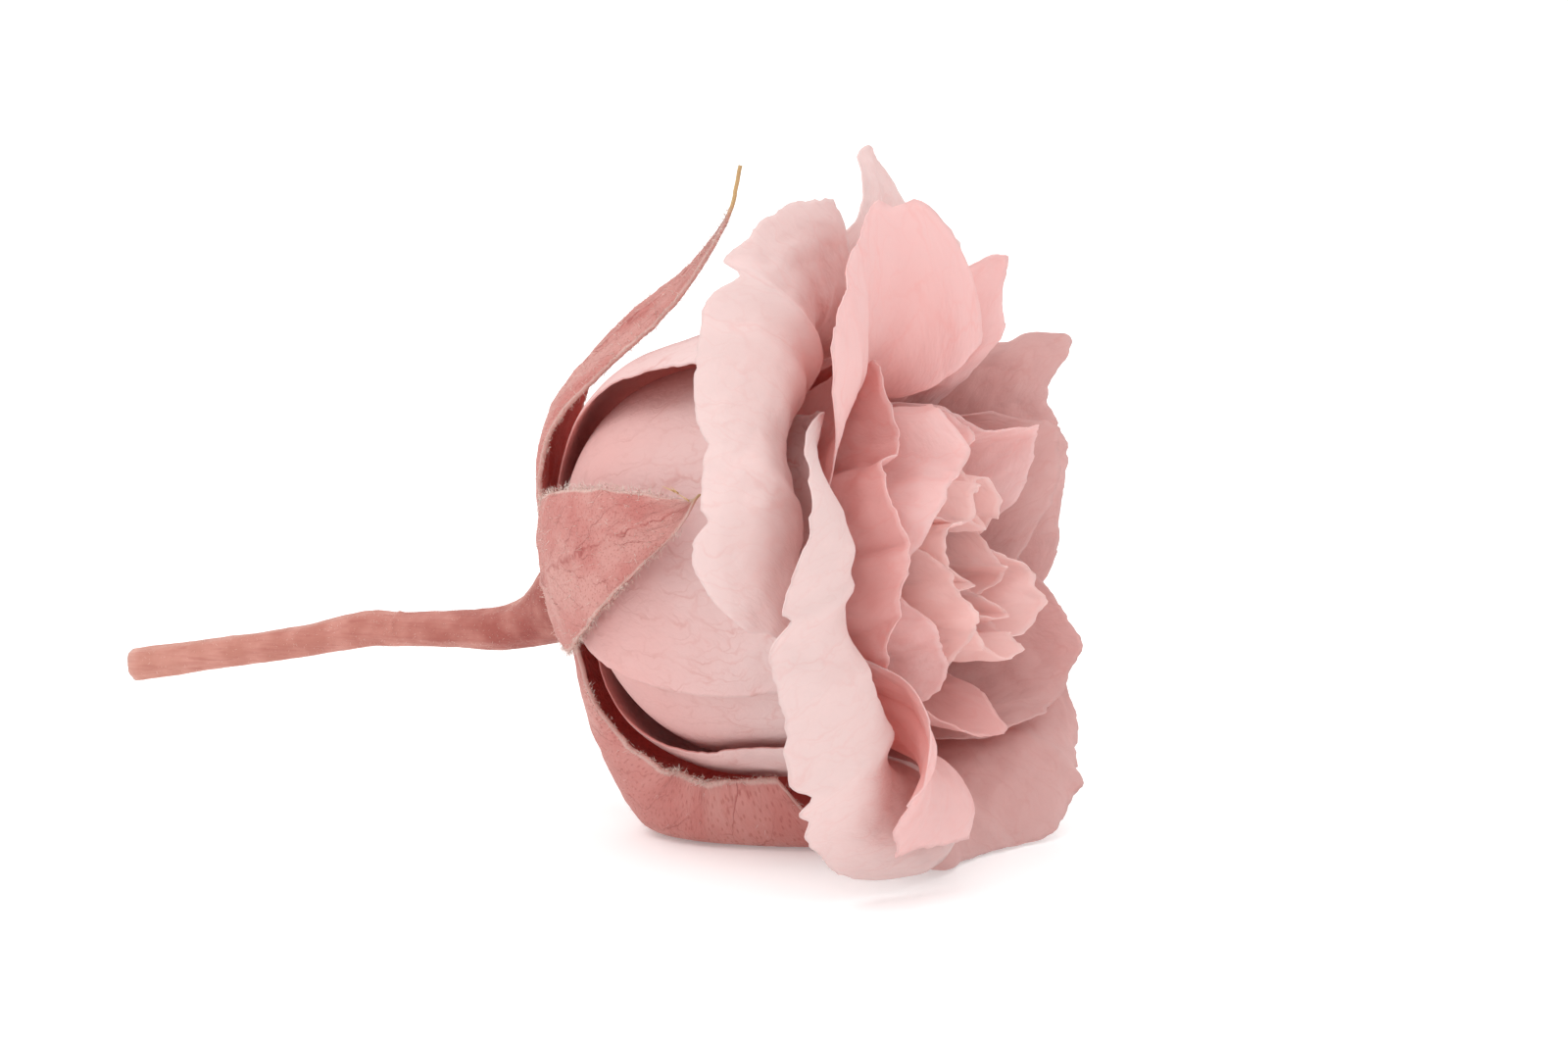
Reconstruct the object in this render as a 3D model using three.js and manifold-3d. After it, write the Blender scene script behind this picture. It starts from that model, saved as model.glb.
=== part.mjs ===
// A cut spray-rose head with a short stem, lying on its side. Millimetres and degrees, +Z up, the
// surface it lies on at Z = 0. +X runs from the stem's cut end to the bloom's face.
//
// Every petal is a thin blade on its own layer of one nested cup: a bowl, a wall, then a margin that
// rolls outwards. Layers are counted from the outermost petal inwards, a fixed step apart, so that no
// two petals meet.
import * as THREE from "three";
import Module from "manifold-3d";
import { mergeVertices } from "three/addons/utils/BufferGeometryUtils.js";

const wasm = await Module();
wasm.setup();

const DEGREE = Math.PI / 180;
const FULL_TURN = 360;

// Where the bloom stands: the point on its axis where the petals' feet meet, and how far its face
// looks upwards.
const FOOT = new THREE.Vector3(1.34, 2.43, 16.9);
const AXIS_LIFT = 14;

// The cup that every petal follows, seen from the side: angles are measured from the bloom's axis.
const CUP = {
  footHeight: 0,
  footRadius: 3.8,
  footLean: 88,
  wallLean: 6,
  bowlLength: 16.5,
  rollStart: 23.2,
  rollLength: 15.5,
};
// The same for the small petals of the heart, which stand on top of the core.
const HEART_CUP = {
  footHeight: 10.2,
  footRadius: 2.2,
  footLean: 62,
  wallLean: 3,
  bowlLength: 7,
  rollStart: 13,
  rollLength: 8,
};

// A petal's thickness, and how finely its surface is divided: a new row after this length or this turn.
const BLADE = 0.6;
const ROW_LENGTH = 4.6;
const ROW_TURN = 36;
const PETAL_COLUMNS = 10;
const SMOOTHING = 6;

// The margin's wave is shared by neighbouring layers, so that it keeps them apart.
const WAVE_HEIGHT = 0.8;
const WAVES_ROUND = 9;
const WAVE_DRIFT = 7;
const WAVE_FROM = 0.55;

// The petals, outermost layer first. turn is the angle round the axis, 0 towards the front and 90 up;
// layer is the depth inside the outermost cup, in millimetres. roll is how far the margin turns
// outwards, skew what that gains from one side to the other, drop what it loses at both, and bends what
// it gains round a place on the margin. from starts the roll later, early starts it sooner towards one
// side. lift raises the first side off the petals beneath, hug presses the second side on them, and
// valleys press a long hollow in, each a place, a depth and a width. tips lengthen the petal at places
// on the margin, shoulders shorten its two sides, and round narrows its end. Places run from -1 to 1.
const PETALS = [
  {
    name: "outer_petal_top",
    layer: 0, turn: 121, length: 36.6, halfWidth: 17.1, roll: 88,
    skew: -4, lift: 2.2, bends: [[-1, 60]],
    tips: [[-0.38, 3.6]], shoulders: [0.2, 0.24],
  },
  {
    name: "outer_petal_under",
    layer: 0.5, turn: 257, length: 37, halfWidth: 14, roll: 80,
    skew: 58, early: 4.6, side: 1, hug: 0.5, bends: [[0.9, 22]],
    tips: [[0.1, 0.6], [-0.8, 1.4]], shoulders: [0.1, 0.16],
  },
  {
    name: "outer_petal_front",
    layer: 1, turn: 36, length: 36, halfWidth: 16.1, roll: 170,
    skew: -32, lift: 0.6, bends: [[-0.08, -5], [-0.72, 9]],
    tips: [[-0.08, 0.4], [0.75, 0.9], [-0.78, 1.5], [0.45, 0.6]], shoulders: [0.06, 0.0], round: -0.1,
  },
  {
    name: "outer_petal_back",
    layer: 1.5, turn: 172, length: 36, halfWidth: 11.6, roll: 44,
    skew: 14,
    tips: [[-0.7, 4.4]], shoulders: [0.06, 0.14],
  },
  {
    name: "outer_petal_low_front",
    layer: 2, turn: 341, length: 37.6, halfWidth: 17.8, roll: 145,
    skew: -8, from: 0.6, early: 4, side: -1, bends: [[0.3, -22]],
    tips: [[0.37, 0.4]], shoulders: [0.08, 0.16], round: 0,
  },
  {
    name: "second_petal_high_back",
    layer: 2.5, turn: 119, length: 36.6, halfWidth: 7, roll: 28,
    tips: [[-0.2, 2.2]], shoulders: [0.1, 0.24],
  },
  {
    name: "second_petal_low_back",
    layer: 2.5, turn: 218, length: 34.8, halfWidth: 9.6, roll: 72,
    skew: 10,
    tips: [[0, 0.8]], shoulders: [0.14, 0.16],
  },
  {
    name: "second_petal_top",
    layer: 3.5, turn: 76, length: 37.3, halfWidth: 12.2, roll: 74,
    skew: -72, drop: 0, bends: [[-0.9, 16]],
    tips: [[0.1, 0.8], [-0.3, -1.2], [-0.6, -1.7], [0.35, -0.7]], shoulders: [0.1, 0.16],
    valleys: [[0.3, 1.9, 0.28]],
  },
  {
    name: "second_petal_low",
    layer: 3.5, turn: 315, length: 34.8, halfWidth: 7.2, roll: 108,
    skew: -46, early: 2.6, side: -1, bends: [[-0.03, 44], [0.74, -40]],
    tips: [[-0.3, 0.8]], shoulders: [0.06, 0.3],
  },
  {
    name: "second_petal_front",
    layer: 4.5, turn: 16, length: 32.8, halfWidth: 12, roll: 36,
    bends: [[0.9, 42], [-0.3, 6]],
    tips: [[0.4, 0.3], [0.95, 1.2]], shoulders: [0.16, 0.08],
  },
  {
    name: "second_petal_far",
    layer: 4.5, turn: 166, length: 34.4, halfWidth: 9, roll: 46,
    tips: [[-0.3, 1.2]], shoulders: [0.2, 0.14],
  },
  {
    name: "third_petal_high_front",
    layer: 5.5, turn: 36, length: 37.2, halfWidth: 7.2, roll: -6,
    tips: [[0.5, 1.2]], shoulders: [0.22, 0.06],
  },
  {
    name: "third_petal_low_back",
    layer: 5.5, turn: 260, length: 29.6, halfWidth: 6.8, roll: 60,
    tips: [[0, 0.8]], shoulders: [0.16, 0.16],
  },
  {
    name: "third_petal_low_front",
    layer: 6.5, turn: 330, length: 33.8, halfWidth: 6.4, roll: -10,
    tips: [[0.4, 1]], shoulders: [0.22, 0.1],
  },
  {
    name: "third_petal_back",
    layer: 6.5, turn: 140, length: 35.4, halfWidth: 7, roll: 34,
    tips: [[0.2, 1]], shoulders: [0.2, 0.14],
  },
  {
    name: "third_petal_top",
    layer: 7.5, turn: 84, length: 35, halfWidth: 5.6, roll: 4,
    tips: [[0, 0.8]], shoulders: [0.2, 0.2],
  },
  {
    name: "third_petal_far",
    layer: 7.5, turn: 204, length: 32.6, halfWidth: 5.9, roll: 8,
    tips: [[0, 0.8]], shoulders: [0.2, 0.2],
  },
];

// The inner petals have sunk a little: the share of their height that they lose on the bloom's axis,
// and the radius at which nothing is lost.
const SINK = 0.2;
const SINK_RADIUS = 25;

// A petal's claw as a share of its width, the share of its length at which it is widest, the most that
// half of it may wrap round the axis, and how much its end narrows again, from where.
const CLAW_WIDTH = 0.16;
const WIDEST_AT = 0.66;
const WIDEST_TURN = 80;
const ROUND_END = 0.1;
const ROUND_FROM = 0.7;
const TIP_WIDTH = 0.2;
const BEND_WIDTH = 0.25;

// The heart: small crumpled petals on a spiral, standing on a core that all the petals' feet surround.
const HEART = {
  petals: 11,
  start: 71,
  spiral: 137.5,
  step: 0.34,
  length: 21,
  halfWidth: 6.4,
  narrowing: 0.03,
  roll: -14,
};
const CORE_RADIUS = 3.2;
const CORE_TOP = 12.6;
const FOOT_GAP = 0.3;
const FUSED_DETAIL = 0.04;

// The sepals. Half their width at the foot and at the widest, the shares of the length at which they
// are widest and at which the dry thread starts, and half the thread's width.
const SEPAL_THICKNESS = 0.8;
const SEPAL_HALF_WIDTH = 4.6;
const SEPAL_FOOT_HALF_WIDTH = 2.1;
const SEPAL_WIDEST = 0.26;
const SEPAL_TIP = 0.9;
const SEPAL_THREAD = 0.5;
// Their side views, as points of height along the axis and distance from it.
const SEPAL_ROUTES = {
  open: [
    [-1.4, 3.9], [-1, 6.4], [0, 9.6], [1.4, 12.4], [3.6, 14.6],
    [7.4, 17], [13.4, 20.1], [17.4, 23.2], [19, 26],
  ],
  near: [
    [-1.2, 3.9], [-0.2, 6.2], [1.1, 9], [3.2, 12.1],
    [6.8, 15.1], [11, 16.9], [15, 17.5], [16.8, 18.3],
  ],
  under: [
    [-1.4, 3.9], [-1.4, 7], [-1.2, 10], [-0.4, 14], [1.4, 17.8],
    [5.2, 20.7], [10, 21.8], [14.5, 22], [18.5, 21.8], [20.5, 21],
  ],
};
// turn is the angle round the axis at the foot, and drift what it gains on the way to the tip. cup is
// the depth of the hollow 1 mm from the midrib, which grows with the square of that distance. widen
// sizes the leaf's half width, and twist turns its outer part. widest and slow say where it is widest
// and how late it opens, until and tip where it starts and ends to taper, and full rounds the taper.
const SEPALS = [
  { name: "sepal_upper", turn: 79, drift: 6, route: "open", cup: 0.055, widen: 0.85, twist: 24 },
  {
    name: "sepal_front",
    turn: 8, drift: 14, route: "near", cup: 0.02, widen: 1.12,
    tip: 0.98, full: 1.8,
  },
  {
    name: "sepal_under",
    turn: -82, drift: -11, route: "under", cup: 0.12, widen: 1.6,
    widest: 0.45, slow: 1.2, until: 0.78,
  },
  { name: "sepal_far_upper", turn: 148, drift: -4, route: "open", cup: 0.05, widen: 0.95 },
  { name: "sepal_far_lower", turn: 217, drift: 24, route: "open", cup: 0.05, widen: 0.95 },
];

// The stem, from its cut end to the hip: points along the way with the radius there.
const STEM_SIDES = 14;
const STEM = [
  [-35.4, 0.3, -8.3, 1.14],
  [-28.2, 0.2, -6.9, 1.1],
  [-21.8, 0.1, -5.6, 1.12],
  [-16.4, 0, -4.3, 1.26],
  [-14.2, 0, -4.2, 1.2],
  [-10, 0, -3.9, 1.28],
  [-6.4, 0, -3.6, 1.5],
  [-4.4, 0, -3, 1.75],
  [-2.8, 0, -2.2, 2.3],
  [-1.7, 0, -1.5, 2.8],
  [-0.6, 0, -1, 3],
];

// The surface carries the lowest petals and sepals. Each bends softly on to its own floor, which is the
// surface for the layers down to FLOOR_LAYER and rises by LAYER_FLOOR for each millimetre inside them.
const FLOOR_LAYER = 0.5;
const LAYER_FLOOR = 0.6;
const SOFTNESS = 1;

const smooth = (x) => {
  const t = THREE.MathUtils.clamp(x, 0, 1);
  return t * t * (3 - 2 * t);
};

// The side view of a layer-0 petal at arc length s: height along the axis, distance from it, and lean.
function sideView(s, roll, cup, from = 0) {
  const footLean = cup.footLean * DEGREE;
  const wallLean = cup.wallLean * DEGREE;
  const bowlRadius = cup.bowlLength / (footLean - wallLean);
  let lean = footLean - Math.min(s, cup.bowlLength) / bowlRadius;
  let height = cup.footHeight + bowlRadius * (Math.sin(footLean) - Math.sin(lean));
  let out = cup.footRadius + bowlRadius * (Math.cos(lean) - Math.cos(footLean));
  const rollStart = cup.rollStart + from;
  const wall = THREE.MathUtils.clamp(s - cup.bowlLength, 0, rollStart - cup.bowlLength);
  height += wall * Math.cos(wallLean);
  out += wall * Math.sin(wallLean);
  const past = Math.max(0, s - rollStart);
  const rollLength = cup.rollLength - from;
  const steps = 12;
  for (let k = 0; k < steps; k++) {
    const angle = wallLean + roll * DEGREE * smooth(((k + 0.5) / steps) * (past / rollLength));
    height += (Math.cos(angle) * past) / steps;
    out += (Math.sin(angle) * past) / steps;
  }
  if (past > 0) lean = wallLean + roll * DEGREE * smooth(past / rollLength);
  return { height, out, lean };
}

// From the bloom's own measures to the part's frame.
function place(height, out, turn) {
  const sunk = SINK * Math.max(0, height) * Math.max(0, 1 - out / SINK_RADIUS);
  const up = out * Math.sin(turn * DEGREE) - sunk;
  const lift = AXIS_LIFT * DEGREE;
  return new THREE.Vector3(
    FOOT.x + height * Math.cos(lift) - up * Math.sin(lift),
    FOOT.y - out * Math.cos(turn * DEGREE),
    FOOT.z + height * Math.sin(lift) + up * Math.cos(lift),
  );
}

function lay(point, floor) {
  const over = Math.max(point.z - floor, -SOFTNESS);
  if (over < SOFTNESS) point.z = floor + (over + SOFTNESS) ** 2 / (4 * SOFTNESS);
  return point;
}

// Half the petal's width at a share of its length: a narrow claw that opens into a round blade.
function petalWidth(petal, share) {
  const opening = Math.sin((Math.PI / 2) * Math.min(1, share / WIDEST_AT)) ** 0.85;
  const past = THREE.MathUtils.clamp((share - ROUND_FROM) / (1 - ROUND_FROM), 0, 1.2);
  return (CLAW_WIDTH + (1 - CLAW_WIDTH) * opening) * (1 - (petal.round ?? ROUND_END) * past * past);
}

// What a list of [place, amount] pairs adds at a place on the margin.
const humps = (pairs, u, width) =>
  (pairs ?? []).reduce((sum, [at, amount]) => sum + amount * Math.exp(-(((u - at) / width) ** 2)), 0);

function petalEnd(petal, u) {
  const shoulder = petal.shoulders[u < 0 ? 0 : 1] * Math.abs(u) ** 2.4;
  return petal.length * (1 - shoulder) + humps(petal.tips, u, TIP_WIDTH);
}

// Petals inside another one roll no further than it does, so that they part instead of crossing.
const ceiling = new Array(FULL_TURN).fill(Infinity);
const wrap = (angle) => ((Math.round(angle) % FULL_TURN) + FULL_TURN) % FULL_TURN;

function settleRoll(petal) {
  const marginRadius = CUP.footRadius + 11.6 - petal.layer;
  petal.span = Math.ceil(petal.halfWidth / marginRadius / DEGREE);
  const reach = petal.span + SMOOTHING;
  const least = [];
  for (let d = -reach; d <= reach; d++) {
    const u = THREE.MathUtils.clamp(d / petal.span, -1, 1);
    let low = petal.roll * (1 - (petal.drop ?? 0.1) * u * u) + (petal.skew ?? 0) * u;
    low += humps(petal.bends, u, BEND_WIDTH);
    for (let k = -SMOOTHING; k <= SMOOTHING; k++) {
      low = Math.min(low, ceiling[wrap(petal.turn + d + k)]);
    }
    least.push(low);
  }
  petal.rolls = [];
  for (let d = -petal.span; d <= petal.span; d++) {
    const near = least.slice(d + petal.span, d + petal.span + 2 * SMOOTHING + 1);
    const roll = near.reduce((a, b) => a + b) / near.length;
    petal.rolls.push(roll);
    ceiling[wrap(petal.turn + d)] = Math.min(ceiling[wrap(petal.turn + d)], roll - 1);
  }
}

function rollAt(petal, offset) {
  const at = THREE.MathUtils.clamp(offset + petal.span, 0, 2 * petal.span - 1e-6);
  const low = Math.floor(at);
  return THREE.MathUtils.lerp(petal.rolls[low], petal.rolls[low + 1], at - low);
}

// A point of the petal's middle surface: u runs across from -1 to 1, v from the foot to the margin.
function petalPoint(petal, u, v) {
  const s = petal.rowAt(v) * petalEnd(petal, u);
  const share = s / petal.length;
  const middle = sideView(s, petal.roll, petal.cup, petal.from);
  const radius = middle.out - petal.layer * Math.cos(middle.lean);
  const halfTurn = Math.min(WIDEST_TURN, (petal.halfWidth * petalWidth(petal, share)) / radius / DEGREE);
  const offset = u * halfTurn;
  const turn = petal.turn + offset;
  const from = (petal.from ?? 0) - (petal.early ?? 0) * Math.max(0, u * (petal.side ?? 1));
  const here = sideView(s, petal.rolls ? rollAt(petal, offset) : petal.roll, petal.cup, from);
  const waving = smooth((share - WAVE_FROM) / (1 - WAVE_FROM));
  const waveTurn = (WAVES_ROUND * turn + WAVE_DRIFT * petal.layer) * DEGREE;
  const wave = WAVE_HEIGHT * waving * Math.sin(waveTurn);
  const fold = (petal.fold ?? 0) * waving * Math.cos(Math.PI * u);
  const sideLift = u < 0 ? (petal.lift ?? 0) : -(petal.hug ?? 0);
  const lift = sideLift * Math.abs(u) ** 1.5 * smooth((share - 0.16) / 0.4);
  let valley = 0;
  for (const [at, depth, wide] of petal.valleys ?? []) {
    valley += depth * Math.exp(-(((u - at) / wide) ** 2)) * smooth((share - 0.5) / 0.4);
  }
  const inwards = petal.layer + wave - fold - lift + valley;
  const height = here.height + inwards * Math.sin(here.lean);
  const point = place(height, here.out - inwards * Math.cos(here.lean), turn);
  return lay(point, BLADE / 2 + LAYER_FLOOR * Math.max(0, petal.layer - FLOOR_LAYER));
}

// Rows crowd where the side view bends, so that few of them give a round roll.
function spaceRows(petal) {
  const samples = 80;
  const reach = [0];
  for (let k = 1; k <= samples; k++) {
    const a = sideView(((k - 1) / samples) * petal.length, petal.roll, petal.cup, petal.from);
    const b = sideView((k / samples) * petal.length, petal.roll, petal.cup, petal.from);
    const turned = Math.abs(b.lean - a.lean) / DEGREE;
    reach.push(reach[k - 1] + petal.length / samples / ROW_LENGTH + turned / ROW_TURN);
  }
  petal.rows = Math.max(5, Math.round(reach[samples]));
  petal.rowAt = (v) => {
    const wanted = v * reach[samples];
    let k = 1;
    while (k < samples && reach[k] < wanted) k++;
    return (k - 1 + (wanted - reach[k - 1]) / (reach[k] - reach[k - 1])) / samples;
  };
}

// Splits the cells of the blade's second face along the same diagonals as those of its first, so that
// the two keep their distance where the blade is waved.
function alikeOnBothFaces(box) {
  const corners = box.index.array;
  const { start, count } = box.groups[5];
  for (let i = start; i < start + count; i += 6) {
    const [a, b, d, , c] = corners.slice(i, i + 6);
    corners.set([a, b, c, a, c, d], i);
  }
}

// A thin closed blade: a flat box of cells whose two faces follow the middle surface, each at half the
// thickness.
function blade(surface, columns, rows, thickness) {
  const box = new THREE.BoxGeometry(2, 1, 2, columns, rows, 1);
  const points = box.getAttribute("position");
  const near = 1e-3;
  for (let i = 0; i < points.count; i++) {
    const u = points.getX(i);
    const v = THREE.MathUtils.clamp(points.getY(i) + 0.5, 0, 1);
    const across = surface(u + near, v).sub(surface(u - near, v));
    const along = surface(u, Math.min(1, v + near)).sub(surface(u, Math.max(0, v - near)));
    const normal = across.cross(along).normalize();
    const point = surface(u, v).addScaledVector(normal, (points.getZ(i) * thickness) / 2);
    points.setXYZ(i, point.x, point.y, Math.abs(point.z) < near ? 0 : point.z);
  }
  alikeOnBothFaces(box);
  return closed(box);
}

function closed(geometry) {
  for (const name of Object.keys(geometry.attributes)) {
    if (name !== "position") geometry.deleteAttribute(name);
  }
  return mergeVertices(geometry, 1e-4);
}

function toSolid(geometry) {
  const merged = closed(geometry);
  return new wasm.Manifold(
    new wasm.Mesh({
      numProp: 3,
      vertProperties: new Float32Array(merged.getAttribute("position").array),
      triVerts: new Uint32Array(merged.index.array),
    }),
  );
}

function toGeometry(solid) {
  const mesh = solid.getMesh();
  const geometry = new THREE.BufferGeometry();
  geometry.setAttribute("position", new THREE.BufferAttribute(mesh.vertProperties, 3));
  geometry.setIndex(new THREE.BufferAttribute(mesh.triVerts, 1));
  return geometry;
}

function piece(name, geometry, material) {
  const shaded = geometry.toNonIndexed();
  shaded.computeVertexNormals();
  const mesh = new THREE.Mesh(shaded, material);
  mesh.name = name;
  return mesh;
}

const petalSkin = new THREE.MeshStandardMaterial({ color: "#efc4c1", roughness: 0.7, metalness: 0 });
const heartSkin = new THREE.MeshStandardMaterial({ color: "#e6a9a6", roughness: 0.7, metalness: 0 });
const sepalSkin = new THREE.MeshStandardMaterial({ color: "#cf8480", roughness: 0.75, metalness: 0 });
const stemSkin = new THREE.MeshStandardMaterial({ color: "#c27a6c", roughness: 0.7, metalness: 0 });

function petals() {
  return PETALS.map((petal) => {
    petal.cup = CUP;
    settleRoll(petal);
    spaceRows(petal);
    const surface = (u, v) => petalPoint(petal, u, v);
    return piece(petal.name, blade(surface, PETAL_COLUMNS, petal.rows, BLADE), petalSkin);
  });
}

function core() {
  const profile = [
    [0, -FOOT_GAP],
    [CORE_RADIUS, -FOOT_GAP],
    [CORE_RADIUS, CORE_TOP * 0.8],
    [CORE_RADIUS * 0.8, CORE_TOP],
    [0, CORE_TOP + 1],
  ].map(([x, y]) => new THREE.Vector2(x, y));
  const lathe = new THREE.LatheGeometry(profile, 16);
  const points = lathe.getAttribute("position");
  for (let i = 0; i < points.count; i++) {
    const [x, y, z] = [points.getX(i), points.getY(i), points.getZ(i)];
    const out = Math.hypot(x, z);
    points.setXYZ(i, ...place(y, out, Math.atan2(z, x) / DEGREE));
  }
  return toSolid(lathe);
}

function heart() {
  let whole = core();
  for (let i = 0; i < HEART.petals; i++) {
    const petal = {
      turn: HEART.start + i * HEART.spiral,
      layer: (i - 2) * HEART.step,
      length: HEART.length * (1 - HEART.narrowing * i * 0.3),
      halfWidth: HEART.halfWidth * (1 - HEART.narrowing * i * 2),
      roll: HEART.roll * (1 - (i % 3) * 0.8),
      tips: [[0, 0.6]],
      shoulders: [0.24, 0.24],
      round: 0.2,
      fold: i % 2 ? 0.5 : -0.4,
      cup: HEART_CUP,
    };
    spaceRows(petal);
    const surface = (u, v) => petalPoint(petal, u, v);
    whole = whole.add(toSolid(blade(surface, 6, 6, BLADE)));
  }
  return piece("heart_petals", toGeometry(whole.simplify(FUSED_DETAIL)), heartSkin);
}

// A sepal: a narrow leaf that widens past its foot and ends in a thread, cupped along its length.
function sepal({ name, turn, drift, route, cup, widen, twist = 0, ...outline }) {
  const { widest = SEPAL_WIDEST, slow = 1, until = SEPAL_WIDEST, tip = SEPAL_TIP, full = 1 } = outline;
  const path = new THREE.CatmullRomCurve3(
    SEPAL_ROUTES[route].map(([height, out], k, all) => {
      const share = k / (all.length - 1);
      return place(height, out, turn + drift * share);
    }),
    false,
    "centripetal",
  );
  const across = (turn + 90) * DEGREE;
  const up = new THREE.Vector3(-Math.sin(AXIS_LIFT * DEGREE), 0, Math.cos(AXIS_LIFT * DEGREE));
  const side = new THREE.Vector3(0, -Math.cos(across), 0).addScaledVector(up, Math.sin(across));
  const halfWidthAt = (v) => {
    const past = THREE.MathUtils.clamp((v - until) / (tip - until), 0, 1);
    const taper = 1 - past ** full;
    const opening = Math.sin((Math.PI / 2) * Math.min(1, v / widest)) ** slow;
    const wide = THREE.MathUtils.lerp(SEPAL_FOOT_HALF_WIDTH, widen * SEPAL_HALF_WIDTH, opening);
    return Math.max(wide * taper, SEPAL_THREAD);
  };
  const surface = (u, v) => {
    const along = path.getTangentAt(v);
    const turned = side.clone().applyAxisAngle(along, twist * DEGREE * smooth((v - 0.25) / 0.4));
    const inwards = new THREE.Vector3().crossVectors(turned, along).normalize();
    const x = u * halfWidthAt(v);
    const point = path.getPointAt(v).addScaledVector(turned, x).addScaledVector(inwards, cup * x * x);
    return lay(point, SEPAL_THICKNESS / 2);
  };
  return piece(name, blade(surface, 6, 14, SEPAL_THICKNESS), sepalSkin);
}

// The stem with the hip at its end: a rod with a changing radius along one curve.
function stem() {
  const path = new THREE.CatmullRomCurve3(
    STEM.map(([x, y, z]) => new THREE.Vector3(x, y, z).add(FOOT)),
    false,
    "centripetal",
  );
  const rings = 26;
  const rod = new THREE.CylinderGeometry(1, 1, 1, STEM_SIDES, rings);
  const points = rod.getAttribute("position");
  const frames = path.computeFrenetFrames(rings, false);
  for (let i = 0; i < points.count; i++) {
    const share = THREE.MathUtils.clamp(points.getY(i) + 0.5, 0, 1);
    const ring = Math.round(share * rings);
    const knot = Math.min(share * (STEM.length - 1), STEM.length - 1 - 1e-6);
    const [before, after] = [STEM[Math.floor(knot)], STEM[Math.floor(knot) + 1]];
    const radius = THREE.MathUtils.lerp(before[3], after[3], knot % 1);
    const point = path.getPoint(share);
    point.addScaledVector(frames.normals[ring], radius * points.getX(i));
    point.addScaledVector(frames.binormals[ring], -radius * points.getZ(i));
    points.setXYZ(i, ...point);
  }
  return piece("stem_with_hip", closed(rod), stemSkin);
}

const rose = new THREE.Group();
rose.add(stem(), ...SEPALS.map(sepal), ...petals(), heart());

export default rose;
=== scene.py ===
import math

import bmesh
import bpy
import numpy as np
from mathutils import Matrix, Vector, noise


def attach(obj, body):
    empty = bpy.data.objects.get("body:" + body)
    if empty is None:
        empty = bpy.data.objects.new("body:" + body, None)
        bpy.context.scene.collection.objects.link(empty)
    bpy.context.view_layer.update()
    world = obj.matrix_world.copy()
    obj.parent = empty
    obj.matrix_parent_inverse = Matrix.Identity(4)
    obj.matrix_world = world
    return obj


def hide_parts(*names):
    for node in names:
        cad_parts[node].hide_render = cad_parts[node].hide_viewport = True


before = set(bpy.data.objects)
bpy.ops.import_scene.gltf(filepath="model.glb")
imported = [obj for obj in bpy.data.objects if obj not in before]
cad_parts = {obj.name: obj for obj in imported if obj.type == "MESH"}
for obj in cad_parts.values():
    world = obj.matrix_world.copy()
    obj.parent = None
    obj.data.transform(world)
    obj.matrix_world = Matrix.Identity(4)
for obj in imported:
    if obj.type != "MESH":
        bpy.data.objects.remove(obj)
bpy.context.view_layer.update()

# The camera
# It stands 35 cm in front of the rose, a little above it and to its right, and takes in 109 mm.
FOOT = Vector((1.34, 2.43, 16.9))
AZIMUTH = math.radians(20)
ELEVATION = math.radians(10)
DISTANCE = 350.0
FRAME_WIDTH = 108.8
SENSOR = 36.0

turn_view = Matrix.Rotation(AZIMUTH, 4, "Z") @ Matrix.Rotation(math.pi / 2 - ELEVATION, 4, "X")
target = FOOT + turn_view @ Vector((13.6, 4.352, 0))
camera_data = bpy.data.cameras.new("camera")
camera_data.sensor_width = SENSOR
camera_data.lens = SENSOR * DISTANCE / FRAME_WIDTH
camera_data.clip_start = 0.01
camera = bpy.data.objects.new("camera", camera_data)
stand = (target + turn_view @ Vector((0, 0, DISTANCE))) / 1000
camera.matrix_world = Matrix.Translation(stand) @ turn_view
bpy.context.collection.objects.link(camera)
bpy.context.scene.camera = camera
bpy.context.scene.view_settings.view_transform = "Standard"

# The stem and the hip
# A young side shoot, cut off square, with the low ring where a leaf sat, and the hip that it swells
# into. They grow as one. Preserved and dyed, the bark is a dull brick pink under short pale down.

# Points along the way from the cut end to the hip, measured from FOOT, each with the radius there.
STEM = [
    (-35.4, 0.3, -8.3, 1.14),
    (-28.2, 0.2, -6.9, 1.1),
    (-21.8, 0.1, -5.6, 1.12),
    (-16.4, 0, -4.3, 1.26),
    (-14.2, 0, -4.2, 1.2),
    (-10, 0, -3.9, 1.28),
    (-6.4, 0, -3.6, 1.5),
    (-4.4, 0, -3, 1.75),
    (-2.8, 0, -2.2, 2.3),
    (-1.7, 0, -1.5, 2.8),
    (-0.6, 0, -1, 3),
]
STEM_SIDES = 56
STEM_RINGS = 240
STEM_RIDGES = 6
RIDGE_HEIGHT = 0.03
LEAF_RING_AT = 0.39
LEAF_RING_HEIGHT = 0.07
STEM_HAIRS = 1300
STEM_HAIR_RADIUS = 0.012
HAIR_ROOT = 0.03


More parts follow.
